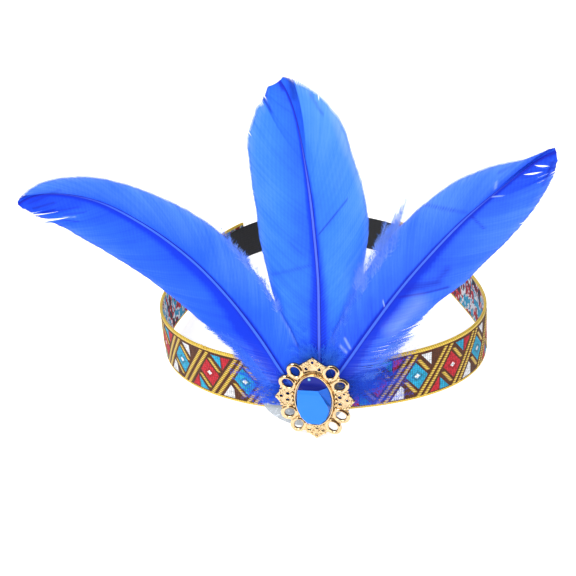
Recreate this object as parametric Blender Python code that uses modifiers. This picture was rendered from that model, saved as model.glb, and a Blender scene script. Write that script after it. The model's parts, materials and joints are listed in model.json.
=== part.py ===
"""Feather headband: a woven ribbon loop with an elastic back, three feathers and a pierced brooch.

Modelled in the loop's own frame: the band's lower edge lies in the plane z = 0, the front faces -Y and
+X is the wearer's left. The whole is then tipped back about X, because it rests on the brooch's lower
point and on the ribbon's two rear ends.
"""
import math

import bmesh
import bpy
import numpy as np
from mathutils import Matrix, Vector

MM = 0.001
GAP = 0.3 * MM

# Head loop: the band's outer face is an egg-shaped loop, a mean radius with a few waves round it
LOOP_RADIUS = 84.6 * MM
LOOP_WAVES = (
    # waves, cosine share, sine share
    (2, -0.070, -0.0114),
    (3, 0.0055, -0.0604),
    (4, -0.0092, 0.0084),
    (5, -0.0083, -0.0032),
    (6, -0.0033, 0.0),
)
LEAN_WAVES = (
    # waves, cosine and sine of how far the upper edge leans outwards, in mm
    (0, 0.18, 0.0),
    (1, -0.70, 0.40),
    (2, -0.78, 0.45),
)
FRONT_ANGLE = math.radians(270)
LOOP_SAMPLES = 1440

# Ribbon: thick rolled edges along a thinner woven field
RIBBON_HEIGHT = 25 * MM
RIBBON_HALF_LENGTH = 218 * MM
RIBBON_STEP = 6 * MM
RIBBON_EDGE_THICK = 1.4 * MM
RIBBON_PROFILE = (
    # height, thickness, in mm
    (0.0, 1.4),
    (1.4, 1.4),
    (1.8, 1.1),
    (12.4, 1.1),
    (22.4, 1.1),
    (22.8, 1.4),
    (25.0, 1.4),
)
LEAN_START = 1.8 * MM

# Elastic: sewn inside both ends of the ribbon
ELASTIC_LAP = 55 * MM
ELASTIC_BOTTOM = 2.7 * MM
ELASTIC_WIDTH = 20 * MM
ELASTIC_THICK = 1.0 * MM
ELASTIC_STEP = 6 * MM

# Clear pad between the ribbon and the feathers
PAD_CENTRE = (-9.5 * MM, 8.4 * MM)
PAD_HALF = (19.6 * MM, 15.6 * MM)
PAD_THICK = 0.9 * MM
PAD_GAP = 1.4 * GAP
PAD_RINGS = (0.5, 0.85, 1.0)
PAD_SIDES = 28

# Feathers: depth in front of the ribbon at the root, and the shaft and vane sizes
ROOT_DEPTH = 2.9 * MM
LEAN_HEIGHT = 20 * MM
LEAN_EASE = 20 * MM
QUILL_THICK = 1.7 * MM
SHAFT_TIP_THICK = 1.0 * MM
VANE_THICK = 0.8 * MM
QUILL_HALF_WIDTH = 0.8 * MM
SHAFT_TIP_HALF_WIDTH = 0.4 * MM
SWEEP_BACK = 0.8 / 1000 / MM
ROW_STEP = 4.2 * MM
VANE_COLUMNS = (1 / 3, 2 / 3, 1.0)
LEAST_VANE = 0.6 * MM
BARB_REACH = 19 * MM
DOWN_REACH = 7 * MM
DOWN_LENGTH = 38 * MM
TIP_TAPER = 30 * MM
BARB_BEND = 1.3

LEFT_ROWS = (
    # shaft x, shaft z, width of the vane left of the shaft, width of the one right of it, in mm, root to
    # tip; left and right are those of a feather that points up
    (-12.1, 12.3, 9.0, 4.0),
    (-18.0, 22.2, 12.0, 9.0),
    (-26.6, 39.2, 13.8, 12.0),
    (-36.9, 58.4, 19.4, 13.8),
    (-52.2, 73.8, 19.8, 16.2),
    (-69.8, 88.0, 20.2, 13.6),
    (-88.2, 97.0, 18.6, 9.2),
    (-107.1, 99.3, 12.6, 3.6),
    (-115.5, 97.9, 9.2, 1.6),
    (-121.6, 95.0, 1.6, 0.6),
)
CENTRE_ROWS = (
    (-2.7, 12.0, 5.0, 4.5),
    (-2.2, 30.0, 7.6, 6.4),
    (-1.9, 46.0, 14.4, 12.0),
    (-1.8, 62.0, 19.9, 18.0),
    (-2.9, 82.0, 22.0, 21.9),
    (-4.0, 95.4, 22.2, 21.2),
    (-5.3, 106.3, 22.2, 19.0),
    (-7.1, 119.0, 21.2, 17.2),
    (-9.3, 130.0, 16.4, 11.4),
    (-11.8, 137.0, 12.0, 6.2),
    (-14.2, 141.0, 5.0, 1.5),
)
RIGHT_ROWS = (
    (1.6, 14.6, 3.0, 8.0),
    (9.0, 26.0, 5.0, 15.0),
    (18.8, 41.2, 10.4, 17.2),
    (30.8, 58.6, 15.6, 16.6),
    (42.7, 73.2, 16.9, 20.2),
    (56.5, 87.8, 15.0, 20.5),
    (72.0, 100.6, 8.6, 17.2),
    (81.9, 107.7, 1.8, 12.0),
    (86.8, 110.0, 0.8, 8.0),
    (89.6, 110.9, 0.6, 2.0),
)
LEFT_SPLITS = (
    # vane (1 left of the shaft, -1 right), shaft length to the split, share of the vane left whole,
    # opening, in mm
    (1, 12.0, 1 / 3, 2.0),
    (1, 26.0, 1 / 3, 1.6),
    (1, 110.0, 2 / 3, 1.2),
    (1, 127.0, 1 / 3, 2.2),
    (1, 136.0, 1 / 3, 2.4),
)
CENTRE_SPLITS = (
    (1, 88.0, 2 / 3, 0.8),
    (1, 116.0, 2 / 3, 1.6),
    (-1, 52.0, 2 / 3, 0.9),
    (-1, 104.0, 2 / 3, 1.8),
)
RIGHT_SPLITS = (
    (-1, 14.0, 1 / 3, 2.0),
    (-1, 27.0, 1 / 3, 2.0),
    (-1, 42.0, 1 / 3, 2.6),
    (-1, 84.0, 2 / 3, 1.0),
    (-1, 108.0, 1 / 3, 1.6),
    (-1, 116.0, 1 / 3, 1.6),
)
FEATHERS = (
    # name, rows, splits, bare quill, backward lean in degrees, forward tip curl, camber, colour
    ("feather_left", LEFT_ROWS, LEFT_SPLITS, 4 * MM, 3.0, 0.0, 1.6 * MM, (0.03, 0.10, 0.86)),
    ("feather_centre", CENTRE_ROWS, CENTRE_SPLITS, 9 * MM, 10.0, 6.0 * MM, 1.8 * MM, (0.05, 0.20, 0.95)),
    ("feather_right", RIGHT_ROWS, RIGHT_SPLITS, 4 * MM, 3.0, 0.0, 1.6 * MM, (0.05, 0.13, 0.90)),
)
CURL_START = 112 * MM
CURL_END = 141 * MM

# Brooch: across is local X, up is local Y, out of the front is local Z
BROOCH_CENTRE = (-4.5 * MM, 11.1 * MM)
BROOCH_DEPTH = 6.0 * MM
BROOCH_YAW = math.radians(-11)
BROOCH_ROLL = math.radians(1.3)
PLATE_THICK = 1.1 * MM
PLATE_HALF = (14.6 * MM, 17.7 * MM)
PLATE_POINTS = 120
TIP_REACH = (17.2 * MM, 20.3 * MM)
TIP_HALF_WIDTH = 3.2 * MM
TIP_LENGTH = 2.4 * MM
RING_CENTRES = ((7.5 * MM, 13.3 * MM), (11.1 * MM, 7.4 * MM))
RING_HOLE = (2.3 * MM, 1.8 * MM)
RING_WIRE = 0.9 * MM
RING_LOBE = RING_HOLE[0] + RING_WIRE
RING_LEVEL = 1.0 * MM
RING_POINTS = 10
TIP_HOLE = 0.5 * MM
TIP_HOLE_IN = 2.8 * MM
DOT_HOLE = 0.42 * MM
DOT_CENTRES = ((2.6 * MM, 14.9 * MM), (11.4 * MM, 1.7 * MM))
TIP_BEAD_RADIUS = 0.6 * MM
TIP_BEAD_IN = 1.05 * MM
WALL_THICK = 0.7 * MM
WALL_TOP = 2.8 * MM
WALL_POINTS = 32
BEAD_RING_COUNT = 26
BEAD_RING_RADIUS = 0.75 * MM
BEAD_RING_WAIST = 0.6
BEAD_RING_OFFSET = 0.35 * MM
BEAD_RING_LEVEL = 1.2 * MM
SHORTEST_EDGE = 0.04 * MM

# Stone: an oval with an eight-sided table over a sixteen-sided girdle
STONE_HALF = (7.4 * MM, 11.75 * MM)
STONE_TABLE = (6.2 * MM, 9.2 * MM)
STONE_BACK = PLATE_THICK + GAP
STONE_GIRDLE = 2.4 * MM
STONE_TOP = 5.2 * MM
STONE_SIDES = 16


def clear_scene():
    """Remove every object that the file opened with."""
    for obj in list(bpy.data.objects):
        bpy.data.objects.remove(obj, do_unlink=True)


def new_collection(name, parent):
    """A collection under another one."""
    group = bpy.data.collections.new(name)
    parent.children.link(group)
    return group


def material(name, colour, roughness, metallic=0.0, alpha=1.0):
    """A Principled material with the part's colour, roughness and metallic value."""
    made = bpy.data.materials.new(name)
    made.use_nodes = True
    shader = made.node_tree.nodes["Principled BSDF"]
    shader.inputs["Base Color"].default_value = (*colour, 1.0)
    shader.inputs["Roughness"].default_value = roughness
    shader.inputs["Metallic"].default_value = metallic
    shader.inputs["Alpha"].default_value = alpha
    return made


def add_object(name, data, group, look=None):
    """Link a new object that carries this mesh or curve."""
    obj = bpy.data.objects.new(name, data)
    group.objects.link(obj)
    if look:
        data.materials.append(look)
    return obj


def mesh_from(bm, name):
    """Turn a bmesh into mesh data and free it."""
    data = bpy.data.meshes.new(name)
    bm.to_mesh(data)
    bm.free()
    return data


def waves(table, angle):
    """Sum of the cosine and sine waves of a table at an angle."""
    return sum(c * np.cos(n * angle) + s * np.sin(n * angle) for n, c, s in table)


class HeadLoop:
    """The band's outer line at its lower edge, read by the length along it from the front."""

    def __init__(self):
        angles = np.linspace(FRONT_ANGLE - math.pi, FRONT_ANGLE + math.pi, LOOP_SAMPLES + 1)
        radius = LOOP_RADIUS * (1 + waves(LOOP_WAVES, angles))
        self.x = radius * np.cos(angles)
        self.y = radius * np.sin(angles)
        steps = np.hypot(np.diff(self.x), np.diff(self.y))
        length = np.concatenate(([0.0], np.cumsum(steps)))
        self.angle = angles
        self.length = length - length[LOOP_SAMPLES // 2]
        self.girth = length[-1]
        self.front = float(np.min(self.y))

    def _wrap(self, along):
        return (along + self.girth / 2) % self.girth - self.girth / 2

    def place(self, along):
        """Point on the line at a length from the front."""
        along = self._wrap(along)
        return np.array([np.interp(along, self.length, self.x), np.interp(along, self.length, self.y)])

    def outward(self, along):
        """Unit normal that points away from the head."""
        ahead = self.place(along + MM) - self.place(along - MM)
        ahead /= np.linalg.norm(ahead)
        return np.array([ahead[1], -ahead[0]])

    def wall(self, along, height, offset):
        """Point of the leaning band wall, at an offset outwards from its outer face."""
        angle = np.interp(self._wrap(along), self.length, self.angle)
        share = max(0.0, height - LEAN_START) / (RIBBON_HEIGHT - LEAN_START)
        lean = waves(LEAN_WAVES, angle) * MM * share
        spot = self.place(along) + self.outward(along) * (offset + lean)
        return Vector((spot[0], spot[1], height))

    def depth_at(self, x, height):
        """How far back the front wall's outer face lies at a place across it."""
        near = np.abs(self.length) < self.girth / 4
        along = float(np.interp(x, self.x[near], self.length[near]))
        return self.wall(along, height, 0.0).y


def smooth_slopes(knots, values):
    """Slopes of a curve through the values that never overshoots them."""
    step = np.diff(knots)
    rise = np.diff(values) / step
    slopes = np.concatenate(([rise[0]], (rise[1:] + rise[:-1]) / 2, [rise[-1]]))
    for k in range(1, len(rise)):
        if rise[k - 1] * rise[k] <= 0:
            slopes[k] = 0.0
        else:
            slopes[k] = 2 * rise[k - 1] * rise[k] / (rise[k - 1] + rise[k])
    return slopes


def smooth_read(knots, values, at, slopes):
    """Value of the smooth curve at one place."""
    k = int(np.clip(np.searchsorted(knots, at) - 1, 0, len(knots) - 2))
    step = knots[k + 1] - knots[k]
    u = (min(max(at, knots[0]), knots[-1]) - knots[k]) / step
    start = (1 + 2 * u) * (1 - u) ** 2 * values[k] + u * (1 - u) ** 2 * step * slopes[k]
    return start + u * u * (3 - 2 * u) * values[k + 1] + u * u * (u - 1) * step * slopes[k + 1]


def wall_sheet(loop, name, spans, heights, offset, thickest, group, look):
    """An open strip of the band wall, thickened by Solidify; heights holds (height, thickness)."""
    bm = bmesh.new()
    weights = bm.verts.layers.deform.verify()
    rows = []
    for along in spans:
        row = [bm.verts.new(loop.wall(along, height, offset)) for height, _ in heights]
        for vert, (_, thick) in zip(row, heights):
            vert[weights][0] = thick / thickest
        rows.append(row)
    for here, ahead in zip(rows, rows[1:]):
        for k in range(len(here) - 1):
            bm.faces.new((here[k], ahead[k], ahead[k + 1], here[k + 1]))
    obj = add_object(name, mesh_from(bm, name), group, look)
    obj.vertex_groups.new(name="thickness")
    thicken(obj, thickest)
    obj.data.shade_smooth()
    obj.data.set_sharp_from_angle(angle=math.radians(50))
    return obj


def thicken(obj, thickness):
    """Solidify a sheet about its middle, scaled by its thickness weights."""
    shell = obj.modifiers.new("thickness", "SOLIDIFY")
    shell.thickness = thickness
    shell.offset = 0.0
    if obj.vertex_groups:
        shell.vertex_group = "thickness"


def spans_between(start, end, step):
    """Evenly spaced lengths from start to end, about a step apart."""
    return np.linspace(start, end, max(2, round((end - start) / step) + 1))


def build_ribbon(loop, group):
    """The woven ribbon, from one rear end round the front to the other."""
    look = material("ribbon", (0.42, 0.22, 0.10), 0.75)
    spans = spans_between(-RIBBON_HALF_LENGTH, RIBBON_HALF_LENGTH, RIBBON_STEP)
    heights = [(height * MM, thick * MM) for height, thick in RIBBON_PROFILE]
    offset = -RIBBON_EDGE_THICK / 2
    return wall_sheet(loop, "ribbon_band", spans, heights, offset, RIBBON_EDGE_THICK, group, look)


def build_elastic(loop, group):
    """The black elastic that closes the loop at the back, inside the ribbon's ends."""
    look = material("elastic", (0.02, 0.02, 0.025), 0.9)
    start = RIBBON_HALF_LENGTH - ELASTIC_LAP
    spans = spans_between(start, loop.girth - start, ELASTIC_STEP)
    middle = ELASTIC_BOTTOM + ELASTIC_WIDTH / 2
    top = ELASTIC_BOTTOM + ELASTIC_WIDTH
    heights = [(height, ELASTIC_THICK) for height in (ELASTIC_BOTTOM, middle, top)]
    field_thick = RIBBON_PROFILE[2][1] * MM
    inner_face = -(RIBBON_EDGE_THICK + field_thick) / 2
    offset = inner_face - GAP - ELASTIC_THICK / 2
    return wall_sheet(loop, "elastic_back", spans, heights, offset, ELASTIC_THICK, group, look)


def build_pad(loop, group):
    """The clear oval pad, bent to the ribbon's front."""
    look = material("clear_pad", (0.85, 0.88, 0.92), 0.15, alpha=0.45)
    bm = bmesh.new()

    def spot(share, turn):
        x = PAD_CENTRE[0] + PAD_HALF[0] * share * math.cos(turn)
        z = PAD_CENTRE[1] + PAD_HALF[1] * share * math.sin(turn)
        y = loop.depth_at(x, z) - PAD_GAP - PAD_THICK / 2
        return bm.verts.new((x, y, z))

    centre = spot(0.0, 0.0)
    rings = []
    for share in PAD_RINGS:
        rings.append([spot(share, 2 * math.pi * k / PAD_SIDES) for k in range(PAD_SIDES)])
    for k in range(PAD_SIDES):
        after = (k + 1) % PAD_SIDES
        bm.faces.new((centre, rings[0][k], rings[0][after]))
        for inner, outer in zip(rings, rings[1:]):
            bm.faces.new((inner[k], outer[k], outer[after], inner[after]))
    obj = add_object("clear_pad", mesh_from(bm, "clear_pad"), group, look)
    thicken(obj, PAD_THICK)
    obj.data.shade_smooth()
    obj.data.set_sharp_from_angle(angle=math.radians(50))
    return obj


class Feather:
    """One feather's shaft line, vane widths and curved surface, read by the length along the shaft."""

    def __init__(self, loop, rows, lean, curl, camber):
        table = np.array(rows) * MM
        self.points = table[:, :2]
        steps = np.hypot(*np.diff(self.points, axis=0).T)
        self.knots = np.concatenate(([0.0], np.cumsum(steps)))
        self.length = self.knots[-1]
        self.widths = {1: table[:, 2], -1: table[:, 3]}
        self.slopes = {side: smooth_slopes(self.knots, width) for side, width in self.widths.items()}
        self.shaft_slopes = [self._shaft_slopes(table[:, axis]) for axis in (0, 1)]
        self.front = loop.front - ROOT_DEPTH
        self.lean = math.tan(math.radians(lean))
        self.curl = curl
        self.camber = camber

    def _shaft_slopes(self, values):
        rise = np.diff(values) / np.diff(self.knots)
        middle = (rise[1:] + rise[:-1]) / 2
        return np.concatenate(([rise[0]], middle, [rise[-1]]))

    def shaft(self, along):
        """Shaft point across and up at a length from the root."""
        return np.array([
            smooth_read(self.knots, self.points[:, axis], along, self.shaft_slopes[axis]) for axis in (0, 1)
        ])

    def side_way(self, along):
        """Unit direction from the shaft to the vane on its left."""
        step = 0.5 * MM
        ahead = self.shaft(min(along + step, self.length)) - self.shaft(max(along - step, 0.0))
        ahead /= np.linalg.norm(ahead)
        return np.array([-ahead[1], ahead[0]])

    def width(self, side, along):
        """Vane width on one side, square to the shaft."""
        wide = smooth_read(self.knots, self.widths[side], along, self.slopes[side])
        return max(wide, self.shaft_half_width(along) + LEAST_VANE)

    def shaft_half_width(self, along):
        share = along / self.length
        return QUILL_HALF_WIDTH + (SHAFT_TIP_HALF_WIDTH - QUILL_HALF_WIDTH) * share

    def reach(self, along):
        """How far towards the tip a barb ends from where it leaves the shaft."""
        grown = min(1.0, along / DOWN_LENGTH)
        near_tip = min(1.0, (self.length - along) / TIP_TAPER)
        return (DOWN_REACH + (BARB_REACH - DOWN_REACH) * grown) * near_tip

    def surface(self, flat, out):
        """Lift a flat place onto the feather's curved surface; out is the share of the vane."""
        x, z = flat
        rise = max(0.0, z - LEAN_HEIGHT)
        leaned = self.lean * rise * rise / (rise + LEAN_EASE)
        curled = self.curl * max(0.0, (z - CURL_START) / (CURL_END - CURL_START)) ** 2
        back = leaned + SWEEP_BACK * x * x + self.camber * out * out - curled
        return Vector((x, self.front + back, z))

    def barb_point(self, side, along, out, shift=0.0):
        """Point on the barb that leaves the shaft at a length, at a share out along the vane."""
        end = min(along + self.reach(along), self.length)
        inner = self.shaft_half_width(along)
        across = inner + (self.width(side, end) - inner) * out
        there = min(along + (end - along) * out ** BARB_BEND + shift, self.length)
        return self.surface(self.shaft(there) + side * self.side_way(there) * across, out)

    def shaft_point(self, side, along):
        """Point on the shaft's middle line (side 0) or on one of its two edges."""
        across = side * self.shaft_half_width(along)
        return self.surface(self.shaft(along) + self.side_way(along) * across, 0.0)

    def shaft_thick(self, along):
        return QUILL_THICK + (SHAFT_TIP_THICK - QUILL_THICK) * along / self.length


def vane_rows(feather, bare, splits):
    """Shaft lengths where barbs are drawn: even steps, and each split's own place."""
    even = spans_between(bare, feather.length - ROW_STEP / 2, ROW_STEP)
    places = [place * MM for _, place, _, _ in splits]
    kept = [along for along in even if all(abs(along - place) > ROW_STEP / 2 for place in places)]
    ends = [even[0], even[-1]]
    return sorted(set(kept + ends + places))


def draw_lock(bm, weights, feather, side, rows, start_split, end_split):
    """One lock of barbs between two splits, as a grid from the shaft's edge to the outline."""
    grid = []
    for along in rows:
        split, way = None, 0
        if along == rows[0] and start_split:
            split, way = start_split, 1
        elif along == rows[-1] and end_split:
            split, way = end_split, -1
        line = [bm.verts.new(feather.shaft_point(side, along))]
        for out in VANE_COLUMNS:
            shift = 0.0
            if split:
                whole, opening = split
                shift = way * opening / 2 * max(0.0, (out - whole) / (1 - whole))
            line.append(bm.verts.new(feather.barb_point(side, along, out, shift)))
        for vert in line:
            vert[weights][0] = VANE_THICK / QUILL_THICK
        grid.append(line)
    join_rows(bm, grid, side)


def join_rows(bm, grid, side):
    """Faces between neighbouring rows, facing the front on either side of the shaft."""
    for here, ahead in zip(grid, grid[1:]):
        for k in range(len(here) - 1):
            ring = (here[k], here[k + 1], ahead[k + 1], ahead[k])
            bm.faces.new(ring if side > 0 else ring[::-1])


def draw_shaft(bm, weights, feather, side, rows):
    """Half of the shaft: the strip between its ridge and one edge, from quill end to tip."""
    grid = []
    for along in rows:
        ridge = bm.verts.new(feather.shaft_point(0, along))
        edge = bm.verts.new(feather.shaft_point(side, along))
        ridge[weights][0] = feather.shaft_thick(along) / QUILL_THICK
        edge[weights][0] = VANE_THICK / QUILL_THICK
        grid.append([ridge, edge])
    join_rows(bm, grid, side)


def build_feather(loop, group, name, rows, splits, bare, lean, curl, camber, colour):
    """A whole feather as one sheet of barb rows, thickened with a ridge along the shaft."""
    look = material(name, colour, 0.6)
    feather = Feather(loop, rows, lean, curl, camber)
    bm = bmesh.new()
    weights = bm.verts.layers.deform.verify()
    lines = vane_rows(feather, bare, splits)
    for side in (1, -1):
        draw_shaft(bm, weights, feather, side, [0.0] + lines)
        marks = [(place * MM, (whole, opening * MM)) for way, place, whole, opening in splits if way == side]
        borders = [(lines[0], None)] + marks + [(lines[-1], None)]
        for (start, start_split), (end, end_split) in zip(borders, borders[1:]):
            lock = [along for along in lines if start <= along <= end]
            draw_lock(bm, weights, feather, side, lock, start_split, end_split)
    bmesh.ops.remove_doubles(bm, verts=bm.verts, dist=0.01 * MM)
    bmesh.ops.recalc_face_normals(bm, faces=bm.faces)
    obj = add_object(name, mesh_from(bm, name), group, look)
    obj.vertex_groups.new(name="thickness")
    thicken(obj, QUILL_THICK)
    obj.data.shade_smooth()
    obj.data.set_sharp_from_angle(angle=math.radians(50))
    return obj


def four_ways(x, y):
    """A place and its mirror images across both axes."""
    return [(x, y), (-x, y), (-x, -y), (x, -y)]


def ellipse(half_x, half_y, count, centre=(0.0, 0.0), turn=0.0):
    """Points round an oval, its first half axis turned by an angle."""
    points = []
    for k in range(count):
        angle = 2 * math.pi * k / count
        x, y = half_x * math.cos(angle), half_y * math.sin(angle)
        points.append((
            centre[0] + x * math.cos(turn) - y * math.sin(turn),
            centre[1] + x * math.sin(turn) + y * math.cos(turn),
        ))
    return points


def ray_to_oval(way):
    """Length of a ray from the centre to the plate's oval."""
    return 1 / math.hypot(way[0] / PLATE_HALF[0], way[1] / PLATE_HALF[1])


def ray_to_lobe(way, centre):
    """Length of a ray from the centre to the far side of a ring's round lobe, or none."""
    along = way[0] * centre[0] + way[1] * centre[1]
    off = abs(way[0] * centre[1] - way[1] * centre[0])
    if along <= 0 or off >= RING_LOBE:
        return 0.0
    return along + math.sqrt(RING_LOBE ** 2 - off ** 2)


def ray_to_tip(way, axis, sign):
    """Length of a ray from the centre to a point of the plate, or none."""
    along, off = way[axis] * sign, abs(way[1 - axis])
    slope = TIP_LENGTH / TIP_HALF_WIDTH
    if along <= 0 or off * TIP_REACH[axis] > along * TIP_HALF_WIDTH * 2:
        return 0.0
    return TIP_REACH[axis] / (along + slope * off)


def plate_outline():
    """Outline of the pierced plate: an oval with a round lobe at each ring and four points."""
    lobes = [spot for centre in RING_CENTRES for spot in four_ways(*centre)]
    points = []
    for k in range(PLATE_POINTS):
        angle = 2 * math.pi * k / PLATE_POINTS
        way = (math.cos(angle), math.sin(angle))
        reach = ray_to_oval(way)
        reach = max([reach] + [ray_to_lobe(way, centre) for centre in lobes])
        reach = max([reach] + [ray_to_tip(way, axis, sign) for axis in (0, 1) for sign in (1, -1)])
        points.append((reach * way[0], reach * way[1]))
    return points


def tip_spots(inset):
    """Places on the four points, at a distance in from their ends."""
    across, up = TIP_REACH[0] - inset, TIP_REACH[1] - inset
    return [(across, 0.0), (0.0, up), (-across, 0.0), (0.0, -up)]


def add_loop(curve, points):
    """A closed straight-sided spline through flat points."""
    spline = curve.splines.new("POLY")
    spline.points.add(len(points) - 1)
    for spot, point in zip(points, spline.points):
        point.co = (spot[0], spot[1], 0.0, 1.0)
    spline.use_cyclic_u = True
    return spline


def ring_turn(centre):
    """Angle of a ring's long axis: it points away from the brooch's centre."""
    return math.atan2(centre[1], centre[0])


def build_plate(group, look):
    """The flat pierced plate, from its outline and its holes."""
    curve = bpy.data.curves.new("plate", "CURVE")
    curve.dimensions = "2D"
    curve.fill_mode = "BOTH"
    curve.extrude = PLATE_THICK / 2
    add_loop(curve, plate_outline())
    for base in RING_CENTRES:
        for centre in four_ways(*base):
            hidden = [half + RING_WIRE / 2 for half in RING_HOLE]
            add_loop(curve, ellipse(*hidden, RING_POINTS, centre, ring_turn(centre)))
    for centre in tip_spots(TIP_HOLE_IN):
        add_loop(curve, ellipse(TIP_HOLE, TIP_HOLE, 6, centre))
    for base in DOT_CENTRES:
        for centre in four_ways(*base):
            add_loop(curve, ellipse(DOT_HOLE, DOT_HOLE, 6, centre))
    flat = bpy.data.objects.new("plate", curve)
    group.objects.link(flat)
    return curve_to_mesh(flat, "brooch_frame", group, look, lift=PLATE_THICK / 2)


def curve_to_mesh(source, name, group, look, lift=0.0):
    """Swap a curve object for its welded mesh, raised by a height."""
    evaluated = source.evaluated_get(bpy.context.evaluated_depsgraph_get())
    data = bpy.data.meshes.new_from_object(evaluated)
    curve = source.data
    bpy.data.objects.remove(source)
    bpy.data.curves.remove(curve)
    bm = bmesh.new()
    bm.from_mesh(data)
    bmesh.ops.remove_doubles(bm, verts=bm.verts, dist=0.01 * MM)
    bmesh.ops.translate(bm, verts=bm.verts, vec=(0, 0, lift))
    bmesh.ops.recalc_face_normals(bm, faces=bm.faces)
    bm.to_mesh(data)
    bm.free()
    data.name = name
    data.materials.clear()
    return add_object(name, data, group, look)


def oval_wire(name, points, radii, wire, height, group, tall=0.0):
    """A closed wire through flat points at a height; tall stretches its section into a wall."""
    curve = bpy.data.curves.new(name, "CURVE")
    curve.dimensions = "3D"
    curve.fill_mode = "FULL"
    curve.bevel_depth = wire
    curve.bevel_resolution = 1
    curve.extrude = tall / 2
    spline = add_loop(curve, points)
    for point, radius in zip(spline.points, radii):
        point.radius = radius
    obj = bpy.data.objects.new(name, curve)
    group.objects.link(obj)
    return curve_to_mesh(obj, name, group, None, lift=height)


def bead(name, centre, radius, height, group):
    """A small round bead on the plate."""
    bm = bmesh.new()
    bmesh.ops.create_uvsphere(bm, u_segments=6, v_segments=4, radius=radius)
    bmesh.ops.translate(bm, verts=bm.verts, vec=(centre[0], centre[1], height))
    return add_object(name, mesh_from(bm, name), group)


def build_relief(group):
    """What stands up from the plate: the rings, the stone's wall, the beaded line and the beads."""
    even = [1.0] * max(WALL_POINTS, RING_POINTS)
    for base in RING_CENTRES:
        for centre in four_ways(*base):
            around = [half + RING_WIRE for half in RING_HOLE]
            points = ellipse(*around, RING_POINTS, centre, ring_turn(centre))
            oval_wire("ring", points, even, RING_WIRE, RING_LEVEL, group)
    middle = [half + GAP + WALL_THICK / 2 for half in STONE_HALF]
    wall = WALL_TOP - PLATE_THICK / 2 - WALL_THICK
    wall_middle = (WALL_TOP + PLATE_THICK / 2) / 2
    oval_wire("wall", ellipse(*middle, WALL_POINTS), even, WALL_THICK / 2, wall_middle, group, wall)
    line = [half + WALL_THICK / 2 + BEAD_RING_OFFSET for half in middle]
    beads = ellipse(*line, 2 * BEAD_RING_COUNT)
    radii = [1.0, BEAD_RING_WAIST] * BEAD_RING_COUNT
    oval_wire("bead_line", beads, radii, BEAD_RING_RADIUS, BEAD_RING_LEVEL, group)
    for centre in tip_spots(TIP_BEAD_IN):
        bead("tip_bead", centre, TIP_BEAD_RADIUS, PLATE_THICK, group)


def fuse(body, relief):
    """Join everything in a collection to a body, drop the slivers and remove the collection."""
    union = body.modifiers.new("relief", "BOOLEAN")
    union.operation = "UNION"
    union.operand_type = "COLLECTION"
    union.collection = relief
    union.solver = "EXACT"
    evaluated = body.evaluated_get(bpy.context.evaluated_depsgraph_get())
    joined = bpy.data.meshes.new_from_object(evaluated)
    body.modifiers.remove(union)
    bm = bmesh.new()
    bm.from_mesh(joined)
    bmesh.ops.dissolve_degenerate(bm, dist=SHORTEST_EDGE, edges=bm.edges)
    bmesh.ops.triangulate(bm, faces=bm.faces)
    bmesh.ops.dissolve_degenerate(bm, dist=SHORTEST_EDGE, edges=bm.edges)
    loose = [vert for vert in bm.verts if not vert.link_faces]
    bmesh.ops.delete(bm, geom=loose, context="VERTS")
    bm.to_mesh(body.data)
    bm.free()
    bpy.data.meshes.remove(joined)
    for obj in list(relief.objects):
        bpy.data.objects.remove(obj)
    bpy.data.collections.remove(relief)


def build_brooch(loop, group):
    """The cast frame and the stone, placed over the quills."""
    gold = material("brooch_frame", (0.95, 0.74, 0.42), 0.28, metallic=1.0)
    frame = build_plate(group, gold)
    relief = new_collection("brooch_relief", bpy.context.scene.collection)
    build_relief(relief)
    fuse(frame, relief)
    frame.data.shade_smooth()
    frame.data.set_sharp_from_angle(angle=math.radians(40))
    stone = build_stone(group)
    place = Vector((BROOCH_CENTRE[0], loop.front - BROOCH_DEPTH, BROOCH_CENTRE[1]))
    facing = Matrix.Rotation(BROOCH_YAW, 4, "Z") @ Matrix.Rotation(math.radians(90), 4, "X")
    for obj in (frame, stone):
        obj.matrix_world = Matrix.Translation(place) @ facing @ Matrix.Rotation(BROOCH_ROLL, 4, "Z")
    return frame, stone


def build_stone(group):
    """The faceted stone: flat back, sixteen-sided girdle and eight-sided table."""
    look = material("brooch_stone", (0.03, 0.35, 0.85), 0.05, alpha=0.8)
    bm = bmesh.new()
    half_step = math.pi / (STONE_SIDES // 2)
    for half, height, count, turn in (
        (STONE_HALF, STONE_BACK, STONE_SIDES, 0.0),
        (STONE_HALF, STONE_GIRDLE, STONE_SIDES, 0.0),
        (STONE_TABLE, STONE_TOP, STONE_SIDES // 2, half_step),
    ):
        for k in range(count):
            angle = turn + 2 * math.pi * k / count
            bm.verts.new((half[0] * math.cos(angle), half[1] * math.sin(angle), height))
    bmesh.ops.convex_hull(bm, input=bm.verts)
    bmesh.ops.dissolve_limit(bm, angle_limit=math.radians(0.5), verts=bm.verts, edges=bm.edges)
    return add_object("brooch_stone", mesh_from(bm, "brooch_stone"), group, look)


def lowest(objects, facing):
    """Lowest evaluated point of some objects after a turn, as its turned place."""
    graph = bpy.context.evaluated_depsgraph_get()
    spots = []
    for obj in objects:
        evaluated = obj.evaluated_get(graph)
        mesh = evaluated.to_mesh()
        spots += [facing @ (evaluated.matrix_world @ vert.co) for vert in mesh.vertices]
        evaluated.to_mesh_clear()
    return min(spots, key=lambda spot: spot.z), spots


def resting_tilt(front, rear):
    """Angle that sets the front piece and the rear piece on one level."""
    angle = 0.0
    for _ in range(8):
        turn = Matrix.Rotation(-angle, 4, "X")
        front_low, _ = lowest([front], turn)
        _, rear_spots = lowest([rear], turn)
        behind = min((spot for spot in rear_spots if spot.y > 0), key=lambda spot: spot.z)
        angle += math.atan2(behind.z - front_low.z, behind.y - front_low.y)
    return angle


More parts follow.
